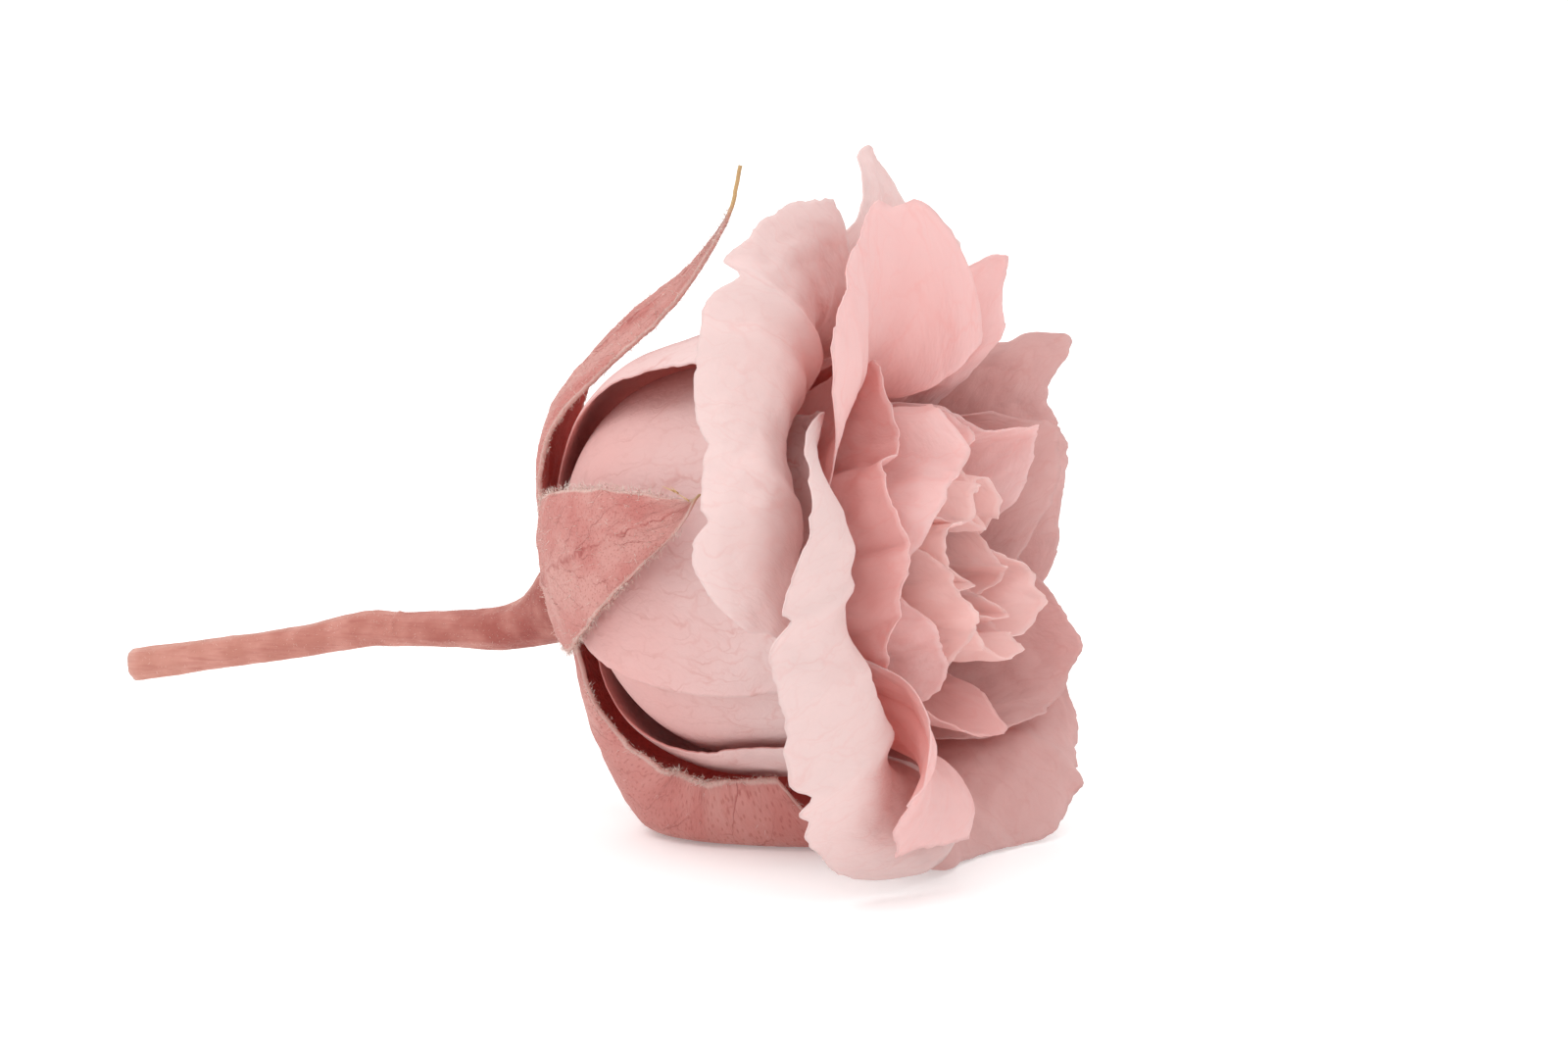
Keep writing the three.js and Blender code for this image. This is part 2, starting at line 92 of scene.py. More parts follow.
# Points of the smooth curve through the knots, as a centripetal spline runs through them.
def curve_points(knots, shares):
    knots = np.array(knots, float)
    knots = np.vstack([2 * knots[0] - knots[1], knots, 2 * knots[-1] - knots[-2]])
    at = np.clip(shares, 0, 1 - 1e-9) * (len(knots) - 3)
    k = at.astype(int)
    t = (at - k)[:, None]
    a, b, c, d = (knots[k + i] for i in range(4))
    steps = (b - a, c - b, d - c)
    gaps = [np.linalg.norm(step[:, :3], axis=1, keepdims=True) ** 0.5 for step in steps]
    start = gaps[1] * ((b - a) / gaps[0] - (c - a) / (gaps[0] + gaps[1])) + c - b
    end = gaps[1] * ((d - c) / gaps[2] - (d - b) / (gaps[1] + gaps[2])) + c - b
    square = 3 * (c - b) - 2 * start - end
    cube = 2 * (b - c) + start + end
    return b + start * t + square * t**2 + cube * t**3


def smooth(x):
    t = np.clip(x, 0, 1)
    return t * t * (3 - 2 * t)


def unit(vectors):
    return vectors / np.maximum(1e-9, np.linalg.norm(vectors, axis=1, keepdims=True))


# Uneven growth: a smooth random height for each point, with swellings of the given size.
def roughened(points, size, octaves=3):
    return np.array([noise.fractal(Vector(point) / size, 0.7, 2.1, octaves) for point in points])


def hex_colour(value):
    parts = [int(value[k : k + 2], 16) / 255 for k in (1, 3, 5)]
    return tuple(p / 12.92 if p <= 0.04045 else ((p + 0.055) / 1.055) ** 2.4 for p in parts) + (1,)


# Sockets go by name, with _ for a space, or as i and a number where a node has several of one name.
def add_node(tree, kind, settings=(), **inputs):
    node = tree.nodes.new(kind)
    for name, value in dict(settings).items():
        setattr(node, name, value)
    for name, value in inputs.items():
        numbered = name[0] == "i" and name[1:].isdigit()
        socket = node.inputs[int(name[1:]) if numbered else name.replace("_", " ")]
        if isinstance(value, bpy.types.NodeSocket):
            tree.links.new(value, socket)
        else:
            socket.default_value = value
    return node


def set_stops(ramp, stops):
    elements = ramp.color_ramp.elements
    while len(elements) < len(stops):
        elements.new(0.5)
    for element, (position, colour) in zip(elements, stops):
        element.position = position
        element.color = hex_colour(colour)


def add_piece(name, mesh, materials, slot, *nodes):
    piece = bpy.data.objects.new(name, mesh)
    bpy.context.collection.objects.link(piece)
    for material in materials:
        mesh.materials.append(material)
    mesh.shade_smooth()
    if nodes:
        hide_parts(*nodes)
    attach(piece, "root")
    return piece


def finished_mesh(bm, name):
    mesh = bpy.data.meshes.new(name)
    bm.to_mesh(mesh)
    bm.free()
    return mesh


# Each hair is a slim cone with three sides, rooted a little way inside the skin.
def down_mesh(name, roots, ways, lengths, radius):
    bm = bmesh.new()
    for root, way, length in zip(roots, ways, lengths):
        standing = Vector(way).to_track_quat("Z", "Y").to_matrix().to_4x4()
        middle = Matrix.Translation((Vector(root) + Vector(way) * (length / 2 - HAIR_ROOT)) / 1000)
        bmesh.ops.create_cone(
            bm, cap_ends=True, segments=3, radius1=radius / 1000, radius2=0, depth=length / 1000,
            matrix=middle @ standing,
        )
    return finished_mesh(bm, name)


bm = bmesh.new()
bmesh.ops.create_cone(bm, cap_ends=True, segments=STEM_SIDES, radius1=1, radius2=1, depth=1)
long_edges = [edge for edge in bm.edges if abs(edge.verts[0].co.z - edge.verts[1].co.z) > 0.5]
bmesh.ops.subdivide_edges(bm, edges=long_edges, cuts=STEM_RINGS, use_grid_fill=True)
cut_end = [
    face for face in bm.faces if len(face.verts) == STEM_SIDES and face.calc_center_median().z < 0
]
for step in (0.08, 0.14, 0.3):
    bmesh.ops.inset_individual(bm, faces=cut_end, thickness=step)
rod = np.array([vert.co for vert in bm.verts])
share = rod[:, 2] + 0.5
reach = np.hypot(rod[:, 0], rod[:, 1])
angle = np.arctan2(rod[:, 1], rod[:, 0])
way = curve_points(STEM, share)
ahead = curve_points(STEM, np.minimum(1, share + 0.004))[:, :3]
behind = curve_points(STEM, np.maximum(0, share - 0.004))[:, :3]
along = unit(ahead - behind)
side = unit(np.cross([[0, 0, 1]], along))
up = np.cross(along, side)
outwards = np.cos(angle)[:, None] * side + np.sin(angle)[:, None] * up
bare = 1 - smooth((share - 0.62) / 0.2)
ridges = RIDGE_HEIGHT * bare * np.sin(STEM_RIDGES * angle + 1.2 * np.sin(9 * share))
stretched = np.stack([way[:, 0] / 3.5, np.cos(angle), np.sin(angle)], axis=1)
from_ring = share - LEAF_RING_AT - 0.006 * np.sin(angle)
ring = LEAF_RING_HEIGHT * np.exp(-((from_ring / 0.007) ** 2)) * smooth(0.6 + np.sin(angle))
radius = way[:, 3] * (1 + ridges + 0.05 * roughened(stretched, 0.8) + ring)
pith = 0.16 * smooth((0.75 - reach) / 0.5) * (share < 0.001)
uneven = 0.05 * roughened(rod * 3, 1) * (share < 0.001)
points = np.array(FOOT) + way[:, :3] + outwards * (radius * reach)[:, None]
points = points + along * (pith + uneven)[:, None]
for vert, point in zip(bm.verts, points):
    vert.co = Vector(point) / 1000
stem_mesh = finished_mesh(bm, "stem_fine")

# Preserved, dyed bark: matt and faintly furrowed along its length, paler towards the cut. Its furrows
# are a few hundredths of a millimetre apart in truth and drawn about 0.2 mm apart, to show.
bark = bpy.data.materials.new("dyed rose bark")
bark.use_nodes = True
tree = bark.node_tree
shader = tree.nodes["Principled BSDF"]
place_on = add_node(tree, "ShaderNodeTexCoord").outputs["Object"]
split = add_node(tree, "ShaderNodeSeparateXYZ", Vector=place_on)
length_share = add_node(
    tree, "ShaderNodeMapRange", Value=split.outputs["X"], From_Min=-0.034, From_Max=0.002,
)
ramp = add_node(tree, "ShaderNodeValToRGB", Fac=length_share.outputs["Result"])
set_stops(
    ramp, [(0, "#c38f82"), (0.02, "#b77b6c"), (0.55, "#ae6c60"), (0.8, "#9c544b"), (1, "#8a413c")],
)
fibres = add_node(tree, "ShaderNodeMapping", Vector=place_on, Scale=(300, 4500, 4500))
grain = add_node(tree, "ShaderNodeTexNoise", Vector=fibres.outputs["Vector"], Scale=1, Detail=4)
speckle = add_node(tree, "ShaderNodeTexNoise", Vector=place_on, Scale=2600, Detail=3)
patches = add_node(tree, "ShaderNodeTexNoise", Vector=place_on, Scale=420, Detail=3)
pale = add_node(
    tree, "ShaderNodeMapRange", Value=patches.outputs["Fac"], From_Min=0.4, From_Max=0.7, To_Max=0.5,
)
tinted = add_node(
    tree, "ShaderNodeMix", {"data_type": "RGBA"}, i0=pale.outputs["Result"], i6=ramp.outputs["Color"],
    i7=hex_colour("#d69c8f"),
)
dark = add_node(
    tree, "ShaderNodeMapRange", Value=grain.outputs["Fac"], From_Min=0.5, From_Max=0.72, To_Max=0.35,
)
furrowed = add_node(
    tree, "ShaderNodeMix", {"data_type": "RGBA"}, i0=dark.outputs["Result"], i6=tinted.outputs[2],
    i7=hex_colour("#9a4f48"),
)
tree.links.new(furrowed.outputs[2], shader.inputs["Base Color"])
relief = add_node(
    tree, "ShaderNodeMath", {"operation": "ADD"}, i0=grain.outputs["Fac"], i1=speckle.outputs["Fac"],
)
bump = add_node(tree, "ShaderNodeBump", Strength=0.5, Distance=0.00012, Height=relief.outputs["Value"])
tree.links.new(bump.outputs["Normal"], shader.inputs["Normal"])
shader.inputs["Roughness"].default_value = 0.68
shader.inputs["Specular IOR Level"].default_value = 0.3
shader.inputs["Sheen Weight"].default_value = 0.35
shader.inputs["Sheen Roughness"].default_value = 0.45
shader.inputs["Sheen Tint"].default_value = hex_colour("#f6e2d6")
add_piece("fine_stem_with_hip", stem_mesh, [bark], "stem", "stem_with_hip")

# Short hairs, too fine to tell apart: they only soften the bark's outline.
pale_down = bpy.data.materials.new("pale down")
pale_down.use_nodes = True
tree = pale_down.node_tree
shader = tree.nodes["Principled BSDF"]
place_on = add_node(tree, "ShaderNodeTexCoord").outputs["Object"]
patches = add_node(tree, "ShaderNodeTexNoise", Vector=place_on, Scale=600, Detail=2)
ramp = add_node(tree, "ShaderNodeValToRGB", Fac=patches.outputs["Fac"])
set_stops(ramp, [(0.35, "#e2bfb2"), (0.65, "#f1ded4")])
tree.links.new(ramp.outputs["Color"], shader.inputs["Base Color"])
shader.inputs["Roughness"].default_value = 0.6
chance = np.random.default_rng(11)
bark_side = np.flatnonzero((share > 0.002) & (share < 0.9) & (reach > 0.99))
chosen = chance.choice(bark_side, STEM_HAIRS, replace=False)
ways = unit(outwards[chosen] + 0.5 * chance.normal(size=(STEM_HAIRS, 3)))
lengths = chance.uniform(0.12, 0.3, STEM_HAIRS)
down = down_mesh("stem_down", points[chosen], ways, lengths, STEM_HAIR_RADIUS)
add_piece("stem_down", down, [pale_down], "stem")

# The sepals
# Five narrow leaves at the top of the hip, dyed pink with the rest. Felted inside and along their
# rims, veined and dotted with glands outside, each ends in a dry thread.

# The bloom's face looks up by AXIS_LIFT. Near its axis it has sunk by a share of its height, SINK, and
# beyond SINK_RADIUS by nothing.
AXIS_LIFT = math.radians(14)
SINK = 0.2
SINK_RADIUS = 25
SOFTNESS = 1
SEPAL_THICKNESS = 0.5
SEPAL_HALF_WIDTH = 4.6
SEPAL_FOOT_HALF_WIDTH = 2.1
SEPAL_WIDEST = 0.26
SEPAL_TIP = 0.9
SEPAL_THREAD = 0.2
SEPAL_FLOOR = 0.4
SEPAL_ROOT = 0.07
SEPAL_LENGTH = 28
# Side views of the sepals, as points of height along the axis and distance from it.
SEPAL_ROUTES = {
    "open": (
        (-1.4, 3.9), (-1, 6.4), (0, 9.6), (1.4, 12.4), (3.6, 14.6),
        (7.4, 17), (13.4, 20.1), (17.4, 23.2), (19, 26),
    ),
    "near": (
        (-1.2, 3.9), (-0.2, 6.2), (1.1, 9), (3.2, 12.1),
        (6.8, 15.1), (11, 16.9), (15, 17.5), (16.8, 18.3),
    ),
    "under": (
        (-1.4, 3.9), (-1.4, 7), (-1.2, 10), (-0.4, 14), (1.4, 17.8),
        (5.2, 20.7), (10, 21.8), (14.5, 22), (18.5, 21.8), (20.5, 21),
    ),
}
# turn is the angle round the axis at the foot, and drift what it gains on the way to the tip. cup is
# the depth of the hollow 1 mm from the midrib, widen sizes the half width, and twist turns the outer
# part, in degrees. widest and slow say where the leaf is widest and how late it opens, until and tip
# where it starts and ends to taper, and full rounds the taper.
SEPALS = [
    {
        "name": "sepal_upper", "turn": 79, "drift": 6, "route": "open", "cup": 0.055, "widen": 0.85,
        "twist": 24,
    },
    {
        "name": "sepal_front", "turn": 8, "drift": 14, "route": "near", "cup": 0.02, "widen": 1.12,
        "tip": 0.98, "full": 1.8,
    },
    {
        "name": "sepal_under", "turn": -82, "drift": -11, "route": "under", "cup": 0.12, "widen": 1.6,
        "until": 0.78, "widest": 0.45, "slow": 1.2,
    },
    {
        "name": "sepal_far_upper", "turn": 148, "drift": -4, "route": "open", "cup": 0.05,
        "widen": 0.95,
    },
    {
        "name": "sepal_far_lower", "turn": 217, "drift": 24, "route": "open", "cup": 0.05,
        "widen": 0.95,
    },
]
SEPAL_COLUMNS = 44
SEPAL_ROWS = 96
RIM_HAIRS = 1300
FACE_HAIRS = 260
SEPAL_HAIR_RADIUS = 0.021
# A leaf's or petal's own map: 0.5 at its middle and 0 at its foot, with 1 for this length in mm.
LEAF_UNIT = 40
FLAT_NOISE = {"noise_dimensions": "2D"}
FLAT_EDGES = {"feature": "DISTANCE_TO_EDGE", "voronoi_dimensions": "2D"}


# From the bloom's own measures to the part's: height along the axis, distance from it, turn round it.
def place(height, out, turn):
    sunk = SINK * np.maximum(0, height) * np.maximum(0, 1 - out / SINK_RADIUS)
    up = out * np.sin(turn) - sunk
    x = FOOT.x + height * math.cos(AXIS_LIFT) - up * math.sin(AXIS_LIFT)
    y = FOOT.y - out * np.cos(turn)
    z = FOOT.z + height * math.sin(AXIS_LIFT) + up * math.cos(AXIS_LIFT)
    return np.stack([x, y, z], axis=-1)


# Whatever reaches the surface bends softly on to it.
def lay(points, floor):
    over = np.maximum(points[:, 2] - floor, -SOFTNESS)
    points[:, 2] = np.where(
        over < SOFTNESS, floor + (over + SOFTNESS) ** 2 / (4 * SOFTNESS), points[:, 2],
    )
    return points


def sepal_half_width(sepal, v):
    until = sepal.get("until", SEPAL_WIDEST)
    past = np.clip((v - until) / (sepal.get("tip", SEPAL_TIP) - until), 0, 1)
    taper = 1 - past ** sepal.get("full", 1)
    risen = np.clip(v / sepal.get("widest", SEPAL_WIDEST), 0, 1)
    opening = np.sin(math.pi / 2 * risen) ** sepal.get("slow", 1)
    wide = SEPAL_FOOT_HALF_WIDTH + (sepal["widen"] * SEPAL_HALF_WIDTH - SEPAL_FOOT_HALF_WIDTH) * opening
    thread = SEPAL_THREAD * (1.2 - v)
    return np.maximum(wide * taper, thread)


# The middle surface of a sepal: u runs across from -1 to 1, v from the foot to the tip. Its midrib and
# side veins stand out on the outer face, and its rims curl in a little.
def sepal_surface(sepal, u, v):
    heights, outs = np.array(SEPAL_ROUTES[sepal["route"]]).T
    turns = np.radians(sepal["turn"] + sepal["drift"] * np.linspace(0, 1, len(heights)))
    knots = place(heights, outs, turns)
    route = curve_points(knots, np.linspace(0, 1, 400))
    run = np.concatenate([[0], np.cumsum(np.linalg.norm(np.diff(route, axis=0), axis=1))])
    at = np.interp(np.clip(v, 0, 1) * run[-1], run, np.arange(400))
    middle = np.stack([np.interp(at, np.arange(400), route[:, k]) for k in range(3)], axis=1)
    heading = np.gradient(route, axis=0)
    heading = unit(np.stack([np.interp(at, np.arange(400), heading[:, k]) for k in range(3)], axis=1))
    across = math.radians(sepal["turn"] + 90)
    lean_back = -math.sin(across) * math.sin(AXIS_LIFT)
    side = np.array([lean_back, -math.cos(across), math.sin(across) * math.cos(AXIS_LIFT)])
    middle = middle + heading * (np.minimum(0, v) * run[-1])[:, None]
    inwards = unit(np.cross(side, heading))
    twist = np.radians(sepal.get("twist", 0) * smooth((v - 0.25) / 0.4))[:, None]
    side = side * np.cos(twist) - inwards * np.sin(twist)
    inwards = unit(np.cross(side, heading))
    wide = sepal_half_width(sepal, v)
    x = u * wide
    length = v * run[-1]
    narrow = smooth(wide / 1.5)
    spots = np.stack([x, length, np.full_like(x, sepal["turn"])], axis=1)
    x = x + narrow * u**2 * np.sign(u) * 0.07 * roughened(spots, 1.3)
    rib = -0.16 * np.exp(-((x / 0.3) ** 2)) * narrow
    veins = -0.05 * smooth(np.cos(2 * math.pi * (length - 1.5 * np.abs(x)) / 3.1) * 3 - 2) * narrow
    wave = 0.16 * narrow * roughened(spots, 5) + 0.03 * roughened(spots, 0.9)
    rim = 0.1 * smooth((np.abs(u) - 0.8) / 0.2) * narrow
    inset = sepal["cup"] * x * x + rib + veins + wave + rim
    points = middle + side * x[:, None] + inwards * inset[:, None]
    return lay(points, SEPAL_FLOOR), inwards, side * np.sign(u)[:, None]


# Preserved and dyed leaf, felted by short hairs: a matt velvet with branching veins, darker glands as
# dots and a pale rim. The hairs' own grain, 0.05 mm, is drawn at 0.2 mm, to show.
def leaf_skin(name, ground, hollow, vein, felt, sheen, seen_through):
    material = bpy.data.materials.new(name)
    material.use_nodes = True
    tree = material.node_tree
    shader = tree.nodes["Principled BSDF"]
    across_along = add_node(tree, "ShaderNodeUVMap", {"uv_map": "across_along"}).outputs["UV"]
    in_mm = add_node(
        tree, "ShaderNodeMapping", Vector=across_along, Location=(-LEAF_UNIT / 2, 0, 0),
        Scale=(LEAF_UNIT, LEAF_UNIT, 1),
    )
    wander = add_node(
        tree, "ShaderNodeTexNoise", FLAT_NOISE, Vector=in_mm.outputs["Vector"], Scale=0.7, Detail=3,
    )
    shifted = add_node(
        tree, "ShaderNodeVectorMath", {"operation": "MULTIPLY_ADD"}, i0=wander.outputs["Color"],
        i1=(1.4, 1.4, 0), i2=in_mm.outputs["Vector"],
    )
    centred = add_node(
        tree, "ShaderNodeVectorMath", {"operation": "SUBTRACT"}, i0=shifted.outputs["Vector"],
        i1=(0.7, 0.7, 0),
    )
    split = add_node(tree, "ShaderNodeSeparateXYZ", Vector=centred.outputs["Vector"])
    aside = add_node(tree, "ShaderNodeMath", {"operation": "ABSOLUTE"}, i0=split.outputs["X"])
    slanted = add_node(
        tree, "ShaderNodeMath", {"operation": "MULTIPLY_ADD"}, i0=aside.outputs["Value"], i1=-1.5,
        i2=split.outputs["Y"],
    )
    spacing = add_node(
        tree, "ShaderNodeMath", {"operation": "PINGPONG"}, i0=slanted.outputs["Value"], i1=1.55,
    )
    branch = add_node(
        tree, "ShaderNodeMapRange", {"interpolation_type": "SMOOTHSTEP"},
        Value=spacing.outputs["Value"], From_Min=0, From_Max=0.13, To_Min=0.7, To_Max=0,
    )
    midrib = add_node(
        tree, "ShaderNodeMapRange", {"interpolation_type": "SMOOTHSTEP"}, Value=aside.outputs["Value"],
        From_Min=0, From_Max=0.2, To_Min=0.8, To_Max=0,
    )
    net = add_node(
        tree, "ShaderNodeTexVoronoi", FLAT_EDGES, Vector=centred.outputs["Vector"], Scale=0.75,
    )
    mesh_lines = add_node(
        tree, "ShaderNodeMapRange", {"interpolation_type": "SMOOTHSTEP"}, Value=net.outputs["Distance"],
        From_Min=0, From_Max=0.05, To_Min=0.3, To_Max=0,
    )
    both = add_node(
        tree, "ShaderNodeMath", {"operation": "MAXIMUM"}, i0=branch.outputs["Result"],
        i1=midrib.outputs["Result"],
    )
    lines = add_node(
        tree, "ShaderNodeMath", {"operation": "MAXIMUM"}, i0=both.outputs["Value"],
        i1=mesh_lines.outputs["Result"],
    )
    fading = add_node(
        tree, "ShaderNodeTexNoise", FLAT_NOISE, Vector=in_mm.outputs["Vector"], Scale=0.4, Detail=2,
    )
    strength = add_node(
        tree, "ShaderNodeMapRange", Value=fading.outputs["Fac"], From_Min=0.35, From_Max=0.62,
        To_Min=0.2, To_Max=1,
    )
    drawn = add_node(
        tree, "ShaderNodeMath", {"operation": "MULTIPLY"}, i0=lines.outputs["Value"],
        i1=strength.outputs["Result"],
    )
    patches = add_node(
        tree, "ShaderNodeTexNoise", FLAT_NOISE, Vector=in_mm.outputs["Vector"], Scale=0.22, Detail=4,
    )
    body = add_node(tree, "ShaderNodeValToRGB", Fac=patches.outputs["Fac"])
    set_stops(body, [(0.36, hollow), (0.6, ground)])
    veined = add_node(
        tree, "ShaderNodeMix", {"data_type": "RGBA"}, i0=drawn.outputs["Value"],
        i6=body.outputs["Color"], i7=hex_colour(vein),
    )
    dots = add_node(
        tree, "ShaderNodeTexVoronoi", {"voronoi_dimensions": "2D"}, Vector=in_mm.outputs["Vector"],
        Scale=2.6, Randomness=1,
    )
    gland = add_node(
        tree, "ShaderNodeMapRange", Value=dots.outputs["Distance"], From_Min=0.1, From_Max=0.24,
        To_Min=0.42, To_Max=0,
    )
    dotted = add_node(
        tree, "ShaderNodeMix", {"data_type": "RGBA"}, i0=gland.outputs["Result"], i6=veined.outputs[2],
        i7=hex_colour(vein),
    )
    to_rim = add_node(tree, "ShaderNodeAttribute", {"attribute_name": "to_rim"}).outputs["Fac"]
    felt_noise = add_node(
        tree, "ShaderNodeMath", {"operation": "MULTIPLY_ADD"}, i0=fading.outputs["Fac"], i1=0.3,
        i2=to_rim,
    )
    rim = add_node(
        tree, "ShaderNodeMapRange", {"interpolation_type": "SMOOTHSTEP"},
        Value=felt_noise.outputs["Value"], From_Min=0.2, From_Max=0.36, To_Min=0.62, To_Max=0,
    )
    felted = add_node(
        tree, "ShaderNodeMix", {"data_type": "RGBA"}, i0=rim.outputs["Result"], i6=dotted.outputs[2],
        i7=hex_colour(felt),
    )
    thread = add_node(tree, "ShaderNodeAttribute", {"attribute_name": "dry"}).outputs["Fac"]
    dried = add_node(
        tree, "ShaderNodeMix", {"data_type": "RGBA"}, i0=thread, i6=felted.outputs[2],
        i7=hex_colour("#dcc08a"),
    )
    tree.links.new(dried.outputs[2], shader.inputs["Base Color"])
    velvet = add_node(
        tree, "ShaderNodeTexNoise", FLAT_NOISE, Vector=in_mm.outputs["Vector"], Scale=5, Detail=3,
    )
    relief = add_node(
        tree, "ShaderNodeMath", {"operation": "MULTIPLY_ADD"}, i0=drawn.outputs["Value"], i1=0.6,
        i2=velvet.outputs["Fac"],
    )
    bump = add_node(
        tree, "ShaderNodeBump", Strength=0.7, Distance=0.00012, Height=relief.outputs["Value"],
    )
    tree.links.new(bump.outputs["Normal"], shader.inputs["Normal"])
    shader.inputs["Roughness"].default_value = 0.75
    shader.inputs["Specular IOR Level"].default_value = 0.25
    shader.inputs["Sheen Weight"].default_value = sheen
    shader.inputs["Sheen Roughness"].default_value = 0.5
    shader.inputs["Sheen Tint"].default_value = hex_colour("#f8e6dc")
    light_through = add_node(tree, "ShaderNodeBsdfTranslucent", Color=hex_colour(seen_through))
    leaf = add_node(
        tree, "ShaderNodeMixShader", Fac=0.2, i1=shader.outputs["BSDF"],
        i2=light_through.outputs["BSDF"],
    )
    tree.links.new(leaf.outputs["Shader"], tree.nodes["Material Output"].inputs["Surface"])
    return material


# The wall of a leaf or petal, a third as thick at its rim, with the outer skin on its second face.
def thicken(piece, thickness):
    wall = piece.modifiers.new("wall", "SOLIDIFY")
    wall.thickness = thickness / 1000
    wall.offset = 0
    wall.vertex_group = "thick"
    wall.thickness_vertex_group = 0.35
    wall.material_offset = 1


leaf_back = leaf_skin("velvety leaf back", "#d89d95", "#cc837c", "#a24a46", "#ead0c6", 0.35, "#d9685e")
leaf_inside = leaf_skin(
    "felted leaf inside", "#dd766f", "#d0645d", "#b04c47", "#ead0c6", 0.2, "#ec7c70",
)
for number, sepal in enumerate(SEPALS):
    bm = bmesh.new()
    across_along = bm.loops.layers.uv.new("across_along")
    bmesh.ops.create_grid(bm, x_segments=SEPAL_COLUMNS, y_segments=SEPAL_ROWS, size=1)
    flat = np.array([vert.co for vert in bm.verts])
    u, v = flat[:, 0], 1 - (1 - flat[:, 1]) * (0.5 + SEPAL_ROOT / 2)
    points, inwards, sideways = sepal_surface(sepal, u, v)
    wide = sepal_half_width(sepal, v)
    rim_gap = (1 - np.abs(u)) * wide
    to_rim = bm.verts.layers.float.new("to_rim")
    dry = bm.verts.layers.float.new("dry")
    thick = bm.verts.layers.deform.verify()
    for vert, point, gap, where in zip(bm.verts, points, rim_gap, v):
        vert[to_rim] = gap
        vert[dry] = float(smooth((where - sepal.get("tip", SEPAL_TIP) + 0.03) / 0.05))
        vert[thick][0] = float(min(1, 0.3 + gap))
        vert.co = Vector(point) / 1000
    for face in bm.faces:
        for loop in face.loops:
            spot = loop.vert.index
            from_middle = u[spot] * SEPAL_HALF_WIDTH / LEAF_UNIT + 0.5
            loop[across_along].uv = (from_middle, v[spot] * SEPAL_LENGTH / LEAF_UNIT)
    mesh = finished_mesh(bm, sepal["name"] + "_fine")
    piece = add_piece("fine_" + sepal["name"], mesh, [leaf_inside, leaf_back], "sepal", sepal["name"])
    piece.vertex_groups.new(name="thick")
    thicken(piece, SEPAL_THICKNESS)
    chance = np.random.default_rng(30 + number)
    edge = np.flatnonzero((np.abs(u) > 0.999) & (v > 0.08) & (v < 0.9))
    chosen = chance.choice(edge, RIM_HAIRS)
    roots = points[chosen] + 0.15 * chance.normal(size=(RIM_HAIRS, 3))
    ways = unit(sideways[chosen] + 0.7 * chance.normal(size=(RIM_HAIRS, 3)))
    face_spots = chance.choice(np.flatnonzero((v > 0.05) & (v < 0.9)), FACE_HAIRS)
    roots = np.vstack([roots, points[face_spots] - inwards[face_spots] * 0.25])
    ways = np.vstack([ways, unit(-inwards[face_spots] + 0.6 * chance.normal(size=(FACE_HAIRS, 3)))])
    ways[:, 2] = np.where(roots[:, 2] < 1, np.abs(ways[:, 2]), ways[:, 2])
    lengths = chance.uniform(0.2, 0.6, len(roots))
    down = down_mesh(sepal["name"] + "_down", roots, ways, lengths, SEPAL_HAIR_RADIUS)
    add_piece(sepal["name"] + "_down", down, [pale_down], "sepal")

# The dry thread at the front sepal's tip has snapped and lies back over the bud. It is dead leaf
# tissue: stiff, matt and straw-coloured, because it took no dye.
dry_thread = bpy.data.materials.new("dry leaf thread")
dry_thread.use_nodes = True
dry_thread.node_tree.nodes["Principled BSDF"].inputs["Base Color"].default_value = hex_colour("#d9b583")
dry_thread.node_tree.nodes["Principled BSDF"].inputs["Roughness"].default_value = 0.7
front = SEPALS[1]
bend = sepal_surface(front, np.zeros(1), np.full(1, front["tip"] - 0.02))[0]
ways = unit(np.array([[-0.75, -0.35, 0.56], [-0.86, -0.3, 0.42], [-0.6, -0.3, 0.74]]))
lengths = [1.5, 1.1, 0.8]
roots = np.vstack([bend, bend + ways[0] * 1.3, bend + ways[0] * 1.1])
thread_mesh = down_mesh("sepal_front_thread", roots, ways, lengths, 0.09)
add_piece("sepal_front_thread", thread_mesh, [dry_thread], "sepal")

# The outer petals
# Five broad petals round the bud, preserved and dyed, soft as glove leather. Each grows from the hip
# by a narrow claw, cups the bloom and rolls its margin back.

# The cup that every petal follows, seen from the side; angles are measured from the bloom's axis.
CUP = {
    "foot_height": 0.0,
    "foot_radius": 3.8,
    "foot_lean": 88,
    "wall_lean": 6,
    "bowl_length": 16.5,
    "roll_start": 23.2,
    "roll_length": 15.5,
}
# The margin's wave is shared by neighbouring layers, which keeps them apart.
WAVE_HEIGHT = 0.8
WAVES_ROUND = 9
WAVE_DRIFT = 7
WAVE_FROM = 0.55
SMOOTHING = 6
BOWL_REACH = 11.6
ROW_LENGTH = 4.6
ROW_TURN = 36
# The claw as a share of the petal's width, the share of the length at which it is widest, the most
# that half of it may wrap round the axis, and how much its end narrows again, from where.
CLAW_WIDTH = 0.16
WIDEST_AT = 0.66
WIDEST_TURN = 80
ROUND_END = 0.1
ROUND_FROM = 0.7
TIP_WIDTH = 0.2
BEND_WIDTH = 0.25
NICK_WIDTH = 0.035
SHARED_DENTS = 0.5
OWN_DENTS = 0.14
WRINKLES = 0.04
# Layers down to FLOOR_LAYER lie on the surface, and each millimetre inside them adds LAYER_FLOOR.
FLOOR_LAYER = 0.5
LAYER_FLOOR = 0.6
PETAL_THICKNESS = 0.3
PETAL_FLOOR = 0.3
